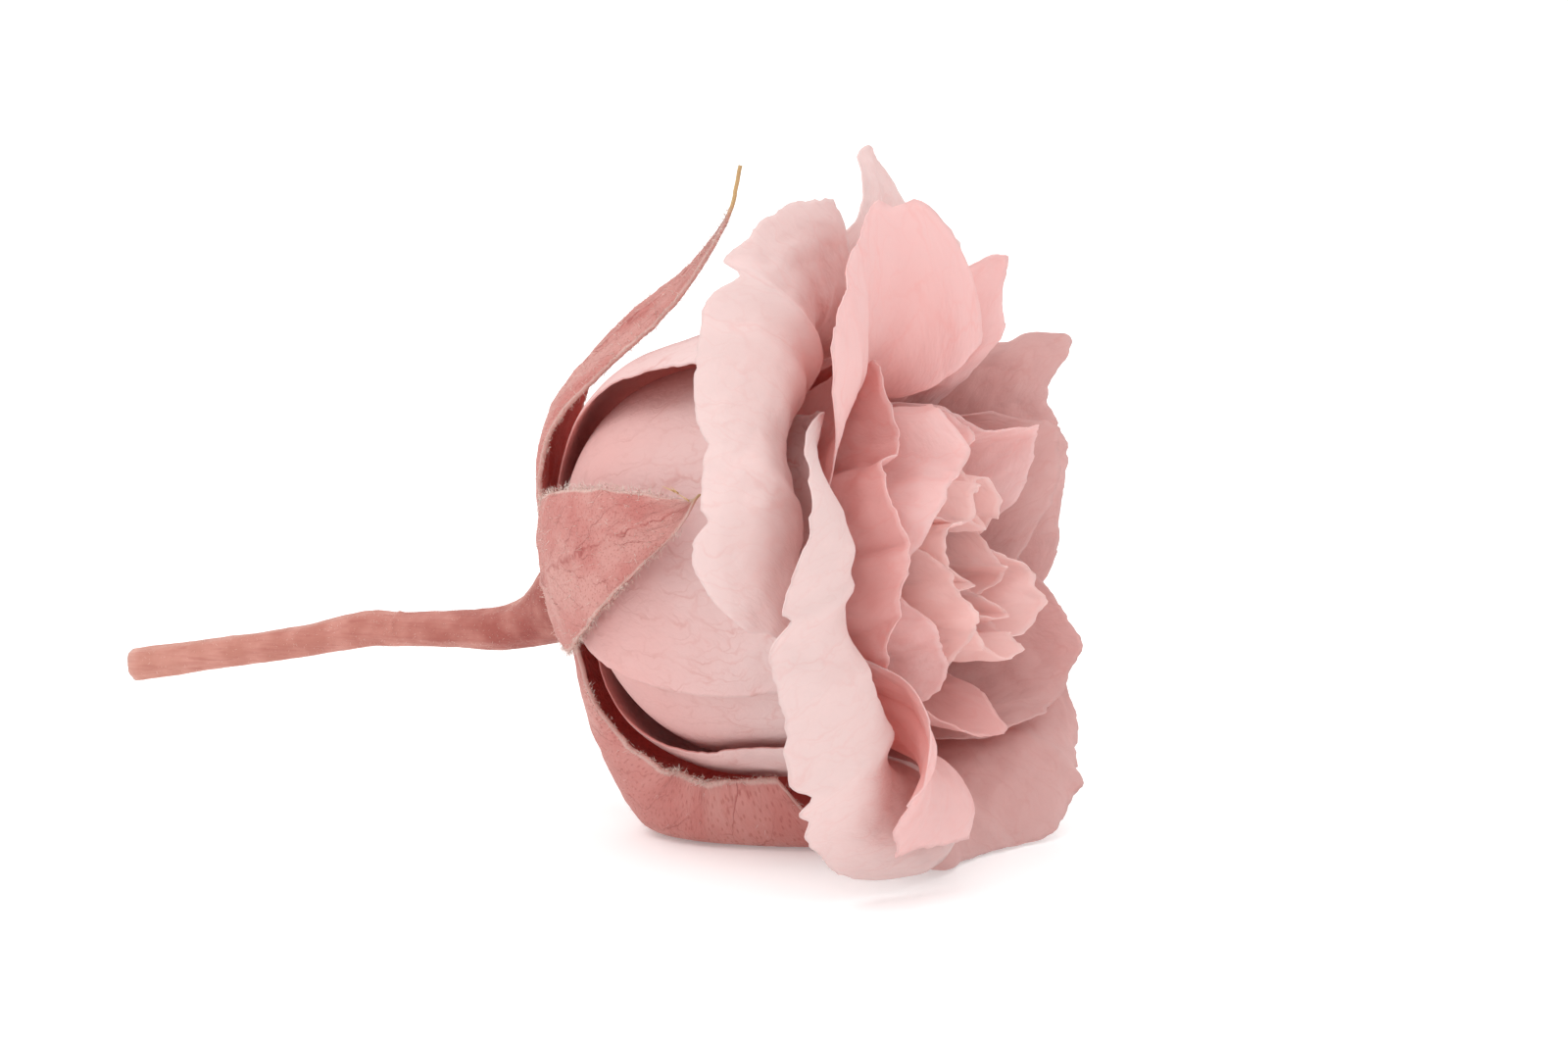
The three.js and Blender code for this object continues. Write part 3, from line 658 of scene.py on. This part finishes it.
# turn is the angle round the axis, 0 towards the front and 90 up; layer is the depth inside the
# outermost cup, in mm. roll is how far the margin turns outwards, skew what that gains from one side to
# the other, drop what it loses at both, and bends what it gains round a place. from starts the roll
# later, early starts it sooner towards one side. lift raises the first side, hug presses the second
# side down, and valleys press long hollows in. tips lengthen the petal at places on the margin,
# shoulders shorten its sides, round narrows its end, and nicks are small tears. creases run in from the
# margin, each with a place, a slant, a depth and a width. ragged is the height of the margin's small
# waves. Places run from -1 to 1.
OUTER = [
    {
        "name": "outer_petal_top", "layer": 0, "turn": 121, "length": 36.6, "half_width": 17.1,
        "roll": 88, "skew": -4, "lift": 2.2, "tips": ((-0.38, 3.6),), "shoulders": (0.2, 0.24),
        "bends": ((-1, 60),), "nicks": ((-0.1, 0.6), (0.4, 0.8)),
        "creases": ((-0.38, 0.1, 0.5, 0.06), (0.3, 0.1, 0.4, 0.06)),
    },
    {
        "name": "outer_petal_under", "layer": 0.5, "turn": 257, "length": 37, "half_width": 14,
        "roll": 80, "skew": 58, "early": 4.6, "side": 1, "tips": ((0.1, 0.6), (-0.8, 1.4)),
        "shoulders": (0.1, 0.16), "bends": ((0.9, 22),), "hug": 0.5,
        "nicks": ((-0.4, 0.7), (0.3, 0.9), (0.62, 1.0)),
        "creases": ((0.3, 0.1, 0.5, 0.06), (-0.35, -0.1, 0.6, 0.07)),
    },
    {
        "name": "outer_petal_front", "layer": 1, "turn": 36, "length": 36, "half_width": 16.1,
        "roll": 170, "skew": -32, "tips": ((-0.08, 0.4), (0.75, 0.9), (-0.78, 1.5), (0.45, 0.6)),
        "shoulders": (0.06, 0.0), "round": -0.1, "bends": ((-0.08, -5), (-0.72, 9)), "lift": 0.6,
        "ragged": 0.26, "nicks": ((0.32, 1.1), (-0.3, 0.5), (-0.6, 0.5)),
        "creases": ((0.33, 0.1, 0.9, 0.05), (0.12, -0.2, 0.3, 0.04), (-0.35, 0.2, 0.25, 0.05)),
    },
    {
        "name": "outer_petal_back", "layer": 1.5, "turn": 172, "length": 36, "half_width": 11.6,
        "roll": 44, "skew": 14, "tips": ((-0.7, 4.4),), "shoulders": (0.06, 0.14),
    },
    {
        "name": "outer_petal_low_front", "layer": 2, "turn": 341, "length": 37.6, "half_width": 17.8,
        "roll": 145, "skew": -8, "from": 0.6, "early": 4, "side": -1, "tips": ((0.37, 0.4),),
        "shoulders": (0.08, 0.16), "round": 0, "bends": ((0.3, -22),),
        "nicks": ((0.84, 0.7), (0.34, 0.8), (-0.3, 1.0), (-0.42, 0.7), (0.62, 0.4)),
        "creases": ((0.34, 0.1, 0.5, 0.04), (-0.32, -0.15, 0.5, 0.05), (0.05, 0.2, 0.25, 0.05)),
        "ragged": 0.3,
    },
]


# The side view of a layer-0 petal at arc length s: height along the axis, distance from it, and lean.
def side_view(s, roll, cup, start):
    foot_lean, wall_lean = math.radians(cup["foot_lean"]), math.radians(cup["wall_lean"])
    bowl = cup["bowl_length"] / (foot_lean - wall_lean)
    lean = foot_lean - np.minimum(s, cup["bowl_length"]) / bowl
    height = cup["foot_height"] + bowl * (math.sin(foot_lean) - np.sin(lean))
    out = cup["foot_radius"] + bowl * (np.cos(lean) - math.cos(foot_lean))
    roll_start = cup["roll_start"] + start
    wall = np.clip(s - cup["bowl_length"], 0, roll_start - cup["bowl_length"])
    height = height + wall * math.cos(wall_lean)
    out = out + wall * math.sin(wall_lean)
    past = np.maximum(0, s - roll_start)
    share = past / (cup["roll_length"] - start)
    steps = 12
    for k in range(steps):
        angle = wall_lean + np.radians(roll) * smooth((k + 0.5) / steps * share)
        height = height + np.cos(angle) * past / steps
        out = out + np.sin(angle) * past / steps
    lean = np.where(past > 0, wall_lean + np.radians(roll) * smooth(share), lean)
    return height, out, lean


# What a list of places and amounts adds at a place on the margin.
def humps(pairs, u, width):
    return sum(amount * np.exp(-(((u - at) / width) ** 2)) for at, amount in pairs)


# Petals inside another one roll no further than it does, so that they part instead of crossing.
ceiling = np.full(360, 1e9)


def settle_roll(petal):
    margin_radius = CUP["foot_radius"] + BOWL_REACH - petal["layer"]
    span = math.ceil(math.degrees(petal["half_width"] / margin_radius))
    reach = span + SMOOTHING
    degrees = np.arange(-reach, reach + 1)
    u = np.clip(degrees / span, -1, 1)
    own = petal["roll"] * (1 - petal.get("drop", 0.1) * u * u) + petal.get("skew", 0) * u
    own = own + humps(petal.get("bends", ()), u, BEND_WIDTH)
    around = [ceiling[(petal["turn"] + degrees + k) % 360] for k in range(-SMOOTHING, SMOOTHING + 1)]
    least = np.minimum(own, np.min(around, axis=0))
    rolls = np.convolve(least, np.ones(2 * SMOOTHING + 1) / (2 * SMOOTHING + 1), "valid")
    turns = (petal["turn"] + np.arange(-span, span + 1)) % 360
    ceiling[turns] = np.minimum(ceiling[turns], rolls - 1)
    petal["span"], petal["rolls"] = span, rolls


# Rows crowd where the side view bends, so that few of them give a round roll.
def row_share(petal, v):
    length = petal["length"]
    samples = np.linspace(0, length, 81)
    lean = side_view(samples, petal["roll"], petal.get("cup", CUP), petal.get("from", 0))[2]
    turning = np.abs(np.degrees(np.diff(lean))) / ROW_TURN
    reach = np.concatenate([[0], np.cumsum(length / 80 / ROW_LENGTH + turning)])
    return np.interp(v * reach[-1], reach, samples / length)


# The middle surface of a petal: u runs across from -1 to 1, v from the foot to the margin.
def petal_surface(petal, u, v):
    cup = petal.get("cup", CUP)
    start = petal.get("from", 0)
    length = petal["length"]
    row = row_share(petal, v)
    shoulders = np.where(u < 0, petal["shoulders"][0], petal["shoulders"][1])
    end = length * (1 - shoulders * np.abs(u) ** 2.4) + humps(petal["tips"], u, TIP_WIDTH)
    ragged = petal.get("ragged", 0.3)
    end = end + ragged * waver(u * petal["half_width"] / 2.2, petal["seed"])
    end = end - humps(petal.get("nicks", ()), u, NICK_WIDTH)
    s = row * end
    share = s / length
    middle_out, middle_lean = side_view(s, petal["roll"], cup, start)[1:]
    radius = middle_out - petal["layer"] * np.cos(middle_lean)
    opened = np.sin(math.pi / 2 * np.minimum(1, share / WIDEST_AT)) ** 0.85
    width = CLAW_WIDTH + (1 - CLAW_WIDTH) * opened
    past = np.clip((share - ROUND_FROM) / (1 - ROUND_FROM), 0, 1.2)
    width = width * (1 - petal.get("round", ROUND_END) * past**2)
    width = width * (1 + ragged / petal["half_width"] * waver(share * length / 2.4, petal["seed"] + 40))
    half_turn = np.minimum(WIDEST_TURN, np.degrees(petal["half_width"] * width / radius))
    offset = u * half_turn
    turn = petal["turn"] + offset
    here_start = start - petal.get("early", 0) * np.maximum(0, u * petal.get("side", 1))
    roll = petal["roll"]
    if "rolls" in petal:
        roll = np.interp(offset, np.arange(-petal["span"], petal["span"] + 1), petal["rolls"])
    height, out, lean = side_view(s, roll, cup, here_start)
    waving = smooth((share - WAVE_FROM) / (1 - WAVE_FROM))
    wave = WAVE_HEIGHT * waving * np.sin(np.radians(WAVES_ROUND * turn + WAVE_DRIFT * petal["layer"]))
    fold = petal.get("fold", 0) * waving * np.cos(math.pi * u)
    side_lift = np.where(u < 0, petal.get("lift", 0), -petal.get("hug", 0))
    lift = side_lift * np.abs(u) ** 1.5 * smooth((share - 0.16) / 0.4)
    for at, depth, wide in petal.get("valleys", ()):
        lift = lift - depth * np.exp(-(((u - at) / wide) ** 2)) * smooth((share - 0.5) / 0.4)
    for at, slant, depth, wide in petal.get("creases", ()):
        line = at + slant * (share - 1)
        lift = lift - depth * np.exp(-(((u - line) / wide) ** 2)) * smooth((share - 0.62) / 0.2)
    inwards = petal["layer"] + wave - fold - lift + crumple(petal, turn, s, share)
    points = place(height + inwards * np.sin(lean), out - inwards * np.cos(lean), np.radians(turn))
    return lay(points, PETAL_FLOOR + LAYER_FLOOR * max(0, petal["layer"] - FLOOR_LAYER))


# The small irregular waves of a torn or frayed margin.
def waver(x, seed):
    return np.array([noise.fractal((value, seed, 0.3), 0.6, 2.2, 5) for value in x])


# The soft dents of a dried petal: some shared with its neighbours, some its own, and fine wrinkles.
def crumple(petal, turn, s, share):
    around = np.radians(turn) * 13
    shared = roughened(np.stack([around / 5, s / 7, np.full_like(s, 0.5)], axis=1), 1)
    seed = np.full_like(s, petal["seed"])
    own = roughened(np.stack([around / 1.8, s / 2.6, seed], axis=1), 1)
    fine = 1 - np.abs(roughened(np.stack([around / 1.5, s / 0.9, seed + 9], axis=1), 1, 4))
    thin = smooth((share - 0.3) / 0.6)
    return (SHARED_DENTS * shared + OWN_DENTS * own + WRINKLES * fine) * thin


# A grid for each petal, bent to its middle surface, with its own map and the weights of its thin rim.
def petal_mesh(name, petals, columns, rows):
    bm = bmesh.new()
    across_along = bm.loops.layers.uv.new("across_along")
    thick = bm.verts.layers.deform.verify()
    for petal in petals:
        first = len(bm.verts)
        first_face = len(bm.faces)
        bmesh.ops.create_grid(bm, x_segments=columns, y_segments=rows, size=1)
        bm.verts.ensure_lookup_table()
        bm.faces.ensure_lookup_table()
        bm.verts.index_update()
        grid = bm.verts[first:]
        flat = np.array([vert.co for vert in grid])
        u, v = flat[:, 0], (flat[:, 1] + 1) / 2
        points = petal_surface(petal, u, v)
        from_middle = u * petal["half_width"] / LEAF_UNIT + 0.5
        from_foot = row_share(petal, v) * petal["length"] / LEAF_UNIT
        to_margin = np.minimum((1 - np.abs(u)) * petal["half_width"], (1 - v) * petal["length"] * 0.6)
        for vert, point, gap in zip(grid, points, to_margin):
            vert.co = Vector(point) / 1000
            vert[thick][0] = float(min(1, gap))
        for face in bm.faces[first_face:]:
            for loop in face.loops:
                spot = loop.vert.index - first
                loop[across_along].uv = (from_middle[spot], from_foot[spot])
    return finished_mesh(bm, name)


# Preserved petal: glycerine leaves it supple and half matt, light passes through it, and its colour
# runs from a deep coral at its foot to a paler margin. The deep coral is partly dye and partly painted
# shade of the deep folds round the foot. The veins show through the outer face. Their net, finer than
# 0.5 mm, is drawn at about 1 mm, to show.
def petal_skin(name, throat, body, margin, vein, veined, seen_through, thin=0.25):
    material = bpy.data.materials.new(name)
    material.use_nodes = True
    tree = material.node_tree
    shader = tree.nodes["Principled BSDF"]
    across_along = add_node(tree, "ShaderNodeUVMap", {"uv_map": "across_along"}).outputs["UV"]
    in_mm = add_node(
        tree, "ShaderNodeMapping", Vector=across_along, Location=(-LEAF_UNIT / 2, 0, 0),
        Scale=(LEAF_UNIT, LEAF_UNIT, 1),
    )
    split = add_node(tree, "ShaderNodeSeparateXYZ", Vector=across_along)
    patches = add_node(
        tree, "ShaderNodeTexNoise", FLAT_NOISE, Vector=in_mm.outputs["Vector"], Scale=0.16, Detail=4,
    )
    uneven = add_node(
        tree, "ShaderNodeMath", {"operation": "MULTIPLY_ADD"}, i0=patches.outputs["Fac"], i1=0.16,
        i2=split.outputs["Y"],
    )
    # Deep coral at the foot, partly dye and partly painted shade of the folds there, growing paler
    # towards the margin.
    ramp = add_node(tree, "ShaderNodeValToRGB", Fac=uneven.outputs["Value"])
    set_stops(ramp, [(0.2, throat), (0.38, throat), (0.72, body), (0.98, margin)])
    wander = add_node(
        tree, "ShaderNodeTexNoise", FLAT_NOISE, Vector=in_mm.outputs["Vector"], Scale=0.5, Detail=3,
    )
    shifted = add_node(
        tree, "ShaderNodeVectorMath", {"operation": "MULTIPLY_ADD"}, i0=wander.outputs["Color"],
        i1=(2.4, 2.4, 0), i2=in_mm.outputs["Vector"],
    )
    drawn_out = add_node(
        tree, "ShaderNodeVectorMath", {"operation": "MULTIPLY"}, i0=shifted.outputs["Vector"],
        i1=(1, 0.36, 1),
    )
    coarse = add_node(
        tree, "ShaderNodeTexVoronoi", FLAT_EDGES, Vector=drawn_out.outputs["Vector"], Scale=0.42,
    )
    ribs = add_node(
        tree, "ShaderNodeMapRange", {"interpolation_type": "SMOOTHSTEP"},
        Value=coarse.outputs["Distance"], From_Min=0.005, From_Max=0.06, To_Min=1, To_Max=0,
    )
    fine = add_node(
        tree, "ShaderNodeTexVoronoi", FLAT_EDGES, Vector=drawn_out.outputs["Vector"], Scale=1.1,
    )
    net = add_node(
        tree, "ShaderNodeMapRange", {"interpolation_type": "SMOOTHSTEP"},
        Value=fine.outputs["Distance"], From_Min=0.005, From_Max=0.09, To_Min=0.6, To_Max=0,
    )
    lines = add_node(
        tree, "ShaderNodeMath", {"operation": "MAXIMUM"}, i0=ribs.outputs["Result"],
        i1=net.outputs["Result"],
    )
    fading = add_node(
        tree, "ShaderNodeMapRange", Value=wander.outputs["Fac"], From_Min=0.38, From_Max=0.64,
        To_Min=0.1, To_Max=veined,
    )
    drawn = add_node(
        tree, "ShaderNodeMath", {"operation": "MULTIPLY"}, i0=lines.outputs["Value"],
        i1=fading.outputs["Result"],
    )
    skin = add_node(
        tree, "ShaderNodeMix", {"data_type": "RGBA"}, i0=drawn.outputs["Value"],
        i6=ramp.outputs["Color"], i7=hex_colour(vein),
    )
    tree.links.new(skin.outputs[2], shader.inputs["Base Color"])
    leather = add_node(
        tree, "ShaderNodeTexNoise", FLAT_NOISE, Vector=in_mm.outputs["Vector"], Scale=2.2, Detail=5,
    )
    relief = add_node(
        tree, "ShaderNodeMath", {"operation": "MULTIPLY_ADD"}, i0=drawn.outputs["Value"], i1=0.5,
        i2=leather.outputs["Fac"],
    )
    bump = add_node(
        tree, "ShaderNodeBump", Strength=0.45, Distance=0.00012, Height=relief.outputs["Value"],
    )
    tree.links.new(bump.outputs["Normal"], shader.inputs["Normal"])
    worn = add_node(tree, "ShaderNodeMapRange", Value=patches.outputs["Fac"], To_Min=0.5, To_Max=0.75)
    tree.links.new(worn.outputs["Result"], shader.inputs["Roughness"])
    shader.inputs["Specular IOR Level"].default_value = 0.3
    shader.inputs["Sheen Weight"].default_value = 0.12
    shader.inputs["Sheen Roughness"].default_value = 0.5
    light_through = add_node(tree, "ShaderNodeBsdfTranslucent", Color=hex_colour(seen_through))
    blade = add_node(
        tree, "ShaderNodeMixShader", Fac=thin, i1=shader.outputs["BSDF"],
        i2=light_through.outputs["BSDF"],
    )
    tree.links.new(blade.outputs["Shader"], tree.nodes["Material Output"].inputs["Surface"])
    return material


petal_face = petal_skin("petal face", "#e8a19b", "#edcfcb", "#ecd8d5", "#e4b1ac", 0.26, "#f4b8b1")
petal_back = petal_skin("petal back", "#eab9b4", "#edd7d4", "#eee0de", "#dba6a0", 0.6, "#f4bab3")
# The petals that lie low and behind, in shade, get a darker, greyer pink: painted shade.
shaded_petal_face = petal_skin("shaded petal face", "#dc8f89", "#dbaaa5", "#dab4b0", "#cf948e", 0.34, "#e89c95")
for number, petal in enumerate(OUTER):
    petal["seed"] = 3.7 * number
    settle_roll(petal)
    mesh = petal_mesh(petal["name"] + "_fine", [petal], 120, 120)
    # The two outer petals that lie low and behind get the greyer face, painted shade.
    face = shaded_petal_face if petal["name"] in ("outer_petal_under", "outer_petal_back") else petal_face
    piece = add_piece("fine_" + petal["name"], mesh, [face, petal_back], "petal", petal["name"])
    piece.vertex_groups.new(name="thick")
    thicken(piece, PETAL_THICKNESS)

# The inner petals
# Twelve smaller petals in two layers. They stand closer to the axis, rolled at the margin outside and
# almost straight inside. Their feet are a deeper coral, partly dye and partly painted shade of the
# folds between them.
INNER = [
    {
        "name": "second_petal_high_back", "layer": 2.5, "turn": 119, "length": 36.6, "half_width": 7,
        "roll": 28, "tips": ((-0.2, 2.2),), "shoulders": (0.1, 0.24),
    },
    {
        "name": "second_petal_low_back", "layer": 2.5, "turn": 218, "length": 34.8, "half_width": 9.6,
        "roll": 72, "skew": 10, "tips": ((0, 0.8),), "shoulders": (0.14, 0.16),
    },
    {
        "name": "second_petal_top", "layer": 3.5, "turn": 76, "length": 37.3, "half_width": 12.2,
        "roll": 74, "skew": -72, "drop": 0,
        "tips": ((0.1, 0.8), (-0.3, -1.2), (-0.6, -1.7), (0.35, -0.7)), "shoulders": (0.1, 0.16),
        "bends": ((-0.9, 16),), "valleys": ((0.3, 1.9, 0.28),), "nicks": ((-0.05, 0.7), (0.5, 0.7)),
        "creases": ((-0.4, 0.2, 0.5, 0.07), (0.0, -0.15, 0.45, 0.06)),
    },
    {
        "name": "second_petal_low", "layer": 3.5, "turn": 315, "length": 34.8, "half_width": 7.2,
        "roll": 108, "skew": -46, "early": 2.6, "side": -1, "tips": ((-0.3, 0.8),),
        "shoulders": (0.06, 0.3), "bends": ((-0.03, 44), (0.74, -40)),
        "nicks": ((0.5, 0.7), (0.1, 0.6)), "creases": ((0.3, 0.1, 0.5, 0.06), (-0.2, 0.1, 0.4, 0.07)),
    },
    {
        "name": "second_petal_front", "layer": 4.5, "turn": 16, "length": 32.8, "half_width": 12,
        "roll": 36, "tips": ((0.4, 0.3), (0.95, 1.2)), "shoulders": (0.16, 0.08),
        "bends": ((0.9, 42), (-0.3, 6)),
        "creases": ((0.45, 0.1, 0.4, 0.05), (-0.1, -0.1, 0.45, 0.05), (-0.55, 0.1, 0.5, 0.06)),
        "ragged": 0.4,
    },
    {
        "name": "second_petal_far", "layer": 4.5, "turn": 166, "length": 34.4, "half_width": 9,
        "roll": 46, "tips": ((-0.3, 1.2),), "shoulders": (0.2, 0.14),
    },
    {
        "name": "third_petal_high_front", "layer": 5.5, "turn": 36, "length": 37.2, "half_width": 7.2,
        "roll": -6, "tips": ((0.5, 1.2),), "shoulders": (0.22, 0.06),
    },
    {
        "name": "third_petal_low_back", "layer": 5.5, "turn": 260, "length": 29.6, "half_width": 6.8,
        "roll": 60, "tips": ((0, 0.8),), "shoulders": (0.16, 0.16),
    },
    {
        "name": "third_petal_low_front", "layer": 6.5, "turn": 330, "length": 33.8, "half_width": 6.4,
        "roll": -10, "tips": ((0.4, 1),), "shoulders": (0.22, 0.1),
    },
    {
        "name": "third_petal_back", "layer": 6.5, "turn": 140, "length": 35.4, "half_width": 7,
        "roll": 34, "tips": ((0.2, 1),), "shoulders": (0.2, 0.14),
    },
    {
        "name": "third_petal_top", "layer": 7.5, "turn": 84, "length": 35, "half_width": 5.6,
        "roll": 4, "tips": ((0, 0.8),), "shoulders": (0.2, 0.2),
    },
    {
        "name": "third_petal_far", "layer": 7.5, "turn": 204, "length": 32.6, "half_width": 5.9,
        "roll": 8, "tips": ((0, 0.8),), "shoulders": (0.2, 0.2),
    },
]
# Inner petals are a deeper coral at their feet, partly dye and partly painted shade of the folds there,
# and light shows through them warmer.
inner_face = petal_skin(
    "inner petal face", "#f19f98", "#f8cbc6", "#f4dcda", "#efaea8", 0.24, "#fbb2aa", 0.36,
)
inner_back = petal_skin(
    "inner petal back", "#f6a49d", "#f5c2bd", "#f1d6d3", "#eba8a2", 0.32, "#fbb5ac", 0.37,
)
# The standing petals inside have taken less of the dye.
pale_back = petal_skin(
    "pale inner petal back", "#fbc3bd", "#fcdcd8", "#f8e7e5", "#f1bcb6", 0.26, "#fcc3bc", 0.42,
)
for number, petal in enumerate(INNER):
    petal["seed"] = 3.7 * number + 20
    settle_roll(petal)
    mesh = petal_mesh(petal["name"] + "_fine", [petal], 76, 90)
    # The far and low back inner petals get the greyer face too, painted shade.
    face = shaded_petal_face if petal["name"] in ("second_petal_far", "second_petal_low_back") else inner_face
    back = pale_back if petal["layer"] > 5 else inner_back
    piece = add_piece("fine_" + petal["name"], mesh, [face, back], "petal", petal["name"])
    piece.vertex_groups.new(name="thick")
    thicken(piece, PETAL_THICKNESS)

# The heart
# Eleven small crumpled petals that never opened, on a slim core. They stand close together, folded
# over each other, and hide the stamens.

# The same side view for these small petals, which stand higher and closer together.
HEART_CUP = {
    "foot_height": 10.2,
    "foot_radius": 2.2,
    "foot_lean": 62,
    "wall_lean": 3,
    "bowl_length": 7,
    "roll_start": 13,
    "roll_length": 8,
}
HEART_THICKNESS = 0.26
HEART_PETALS = 11
HEART_START = 71
HEART_SPIRAL = 137.5
HEART_STEP = 0.34
HEART_LENGTH = 21
HEART_HALF_WIDTH = 6.4
HEART_NARROWING = 0.03
HEART_ROLL = -14
heart = []
for i in range(HEART_PETALS):
    heart.append({
        "turn": HEART_START + i * HEART_SPIRAL, "layer": (i - 2) * HEART_STEP,
        "length": HEART_LENGTH * (1 - HEART_NARROWING * i * 0.3),
        "half_width": HEART_HALF_WIDTH * (1 - HEART_NARROWING * i * 2),
        "roll": HEART_ROLL * (1 - (i % 3) * 0.8), "tips": ((0, 0.6),), "shoulders": (0.24, 0.24),
        "fold": 0.5 if i % 2 else -0.4, "cup": HEART_CUP, "seed": 70 + i, "round": 0.2, "ragged": 0.5,
    })
# The palest of all, nearly white down to their feet: painted light that lifts the shade deep in the
# bloom. They are thin enough to glow.
heart_face = petal_skin(
    "heart petal face", "#fce6e3", "#fdedeb", "#fcf3f1", "#f7d3cf", 0.24, "#fedcd7", 0.5,
)
heart_back = petal_skin(
    "heart petal back", "#fce5e1", "#fdece9", "#fcf2f0", "#f6d1cc", 0.28, "#fedcd7", 0.5,
)
mesh = petal_mesh("heart_fine", heart, 46, 54)
piece = add_piece("fine_heart", mesh, [heart_face, heart_back], "heart", "heart_petals")
piece.vertex_groups.new(name="thick")
thicken(piece, HEART_THICKNESS)

# The floor and the light
# A sheet of white paper in a white room, with one large soft window high on the left. The paper also
# glows faintly: painted light that lifts the shadow round the rose.
bm = bmesh.new()
bmesh.ops.create_circle(bm, cap_ends=True, segments=96, radius=6)
floor_mesh = finished_mesh(bm, "floor")
floor = bpy.data.objects.new("floor", floor_mesh)
bpy.context.collection.objects.link(floor)
paper = bpy.data.materials.new("white paper")
paper.use_nodes = True
paper_shader = paper.node_tree.nodes["Principled BSDF"]
paper_shader.inputs["Base Color"].default_value = hex_colour("#f7f7f7")
paper_shader.inputs["Roughness"].default_value = 0.9
paper_shader.inputs["Specular IOR Level"].default_value = 0.1
# The faint glow is painted light, to lift the paper's shadow.
paper_shader.inputs["Emission Color"].default_value = (1, 1, 1, 1)
paper_shader.inputs["Emission Strength"].default_value = 0.2
floor_mesh.materials.append(paper)

# The room's light: dimmer from the level of the floor, brighter from above.
world = bpy.data.worlds.new("white room")
world.use_nodes = True
tree = world.node_tree
looking = add_node(
    tree, "ShaderNodeSeparateXYZ", Vector=add_node(tree, "ShaderNodeTexCoord").outputs["Generated"],
)
sky = add_node(
    tree, "ShaderNodeMapRange", Value=looking.outputs["Z"], From_Min=0, From_Max=1, To_Min=0.6,
    To_Max=1.5,
)
tree.nodes["Background"].inputs["Color"].default_value = (1, 1, 1, 1)
tree.links.new(sky.outputs["Result"], tree.nodes["Background"].inputs["Strength"])
bpy.context.scene.world = world

WINDOW_PLACE = Vector((-0.3, -0.35, 0.7))
window_light = bpy.data.lights.new("window", "AREA")
window_light.shape = "DISK"
window_light.size = 0.5
window_light.energy = 1.6
window = bpy.data.objects.new("window", window_light)
window.location = WINDOW_PLACE
window.rotation_mode = "QUATERNION"
window.rotation_quaternion = (Vector((0, 0, 0.02)) - WINDOW_PLACE).to_track_quat("-Z", "Y")
bpy.context.collection.objects.link(window)
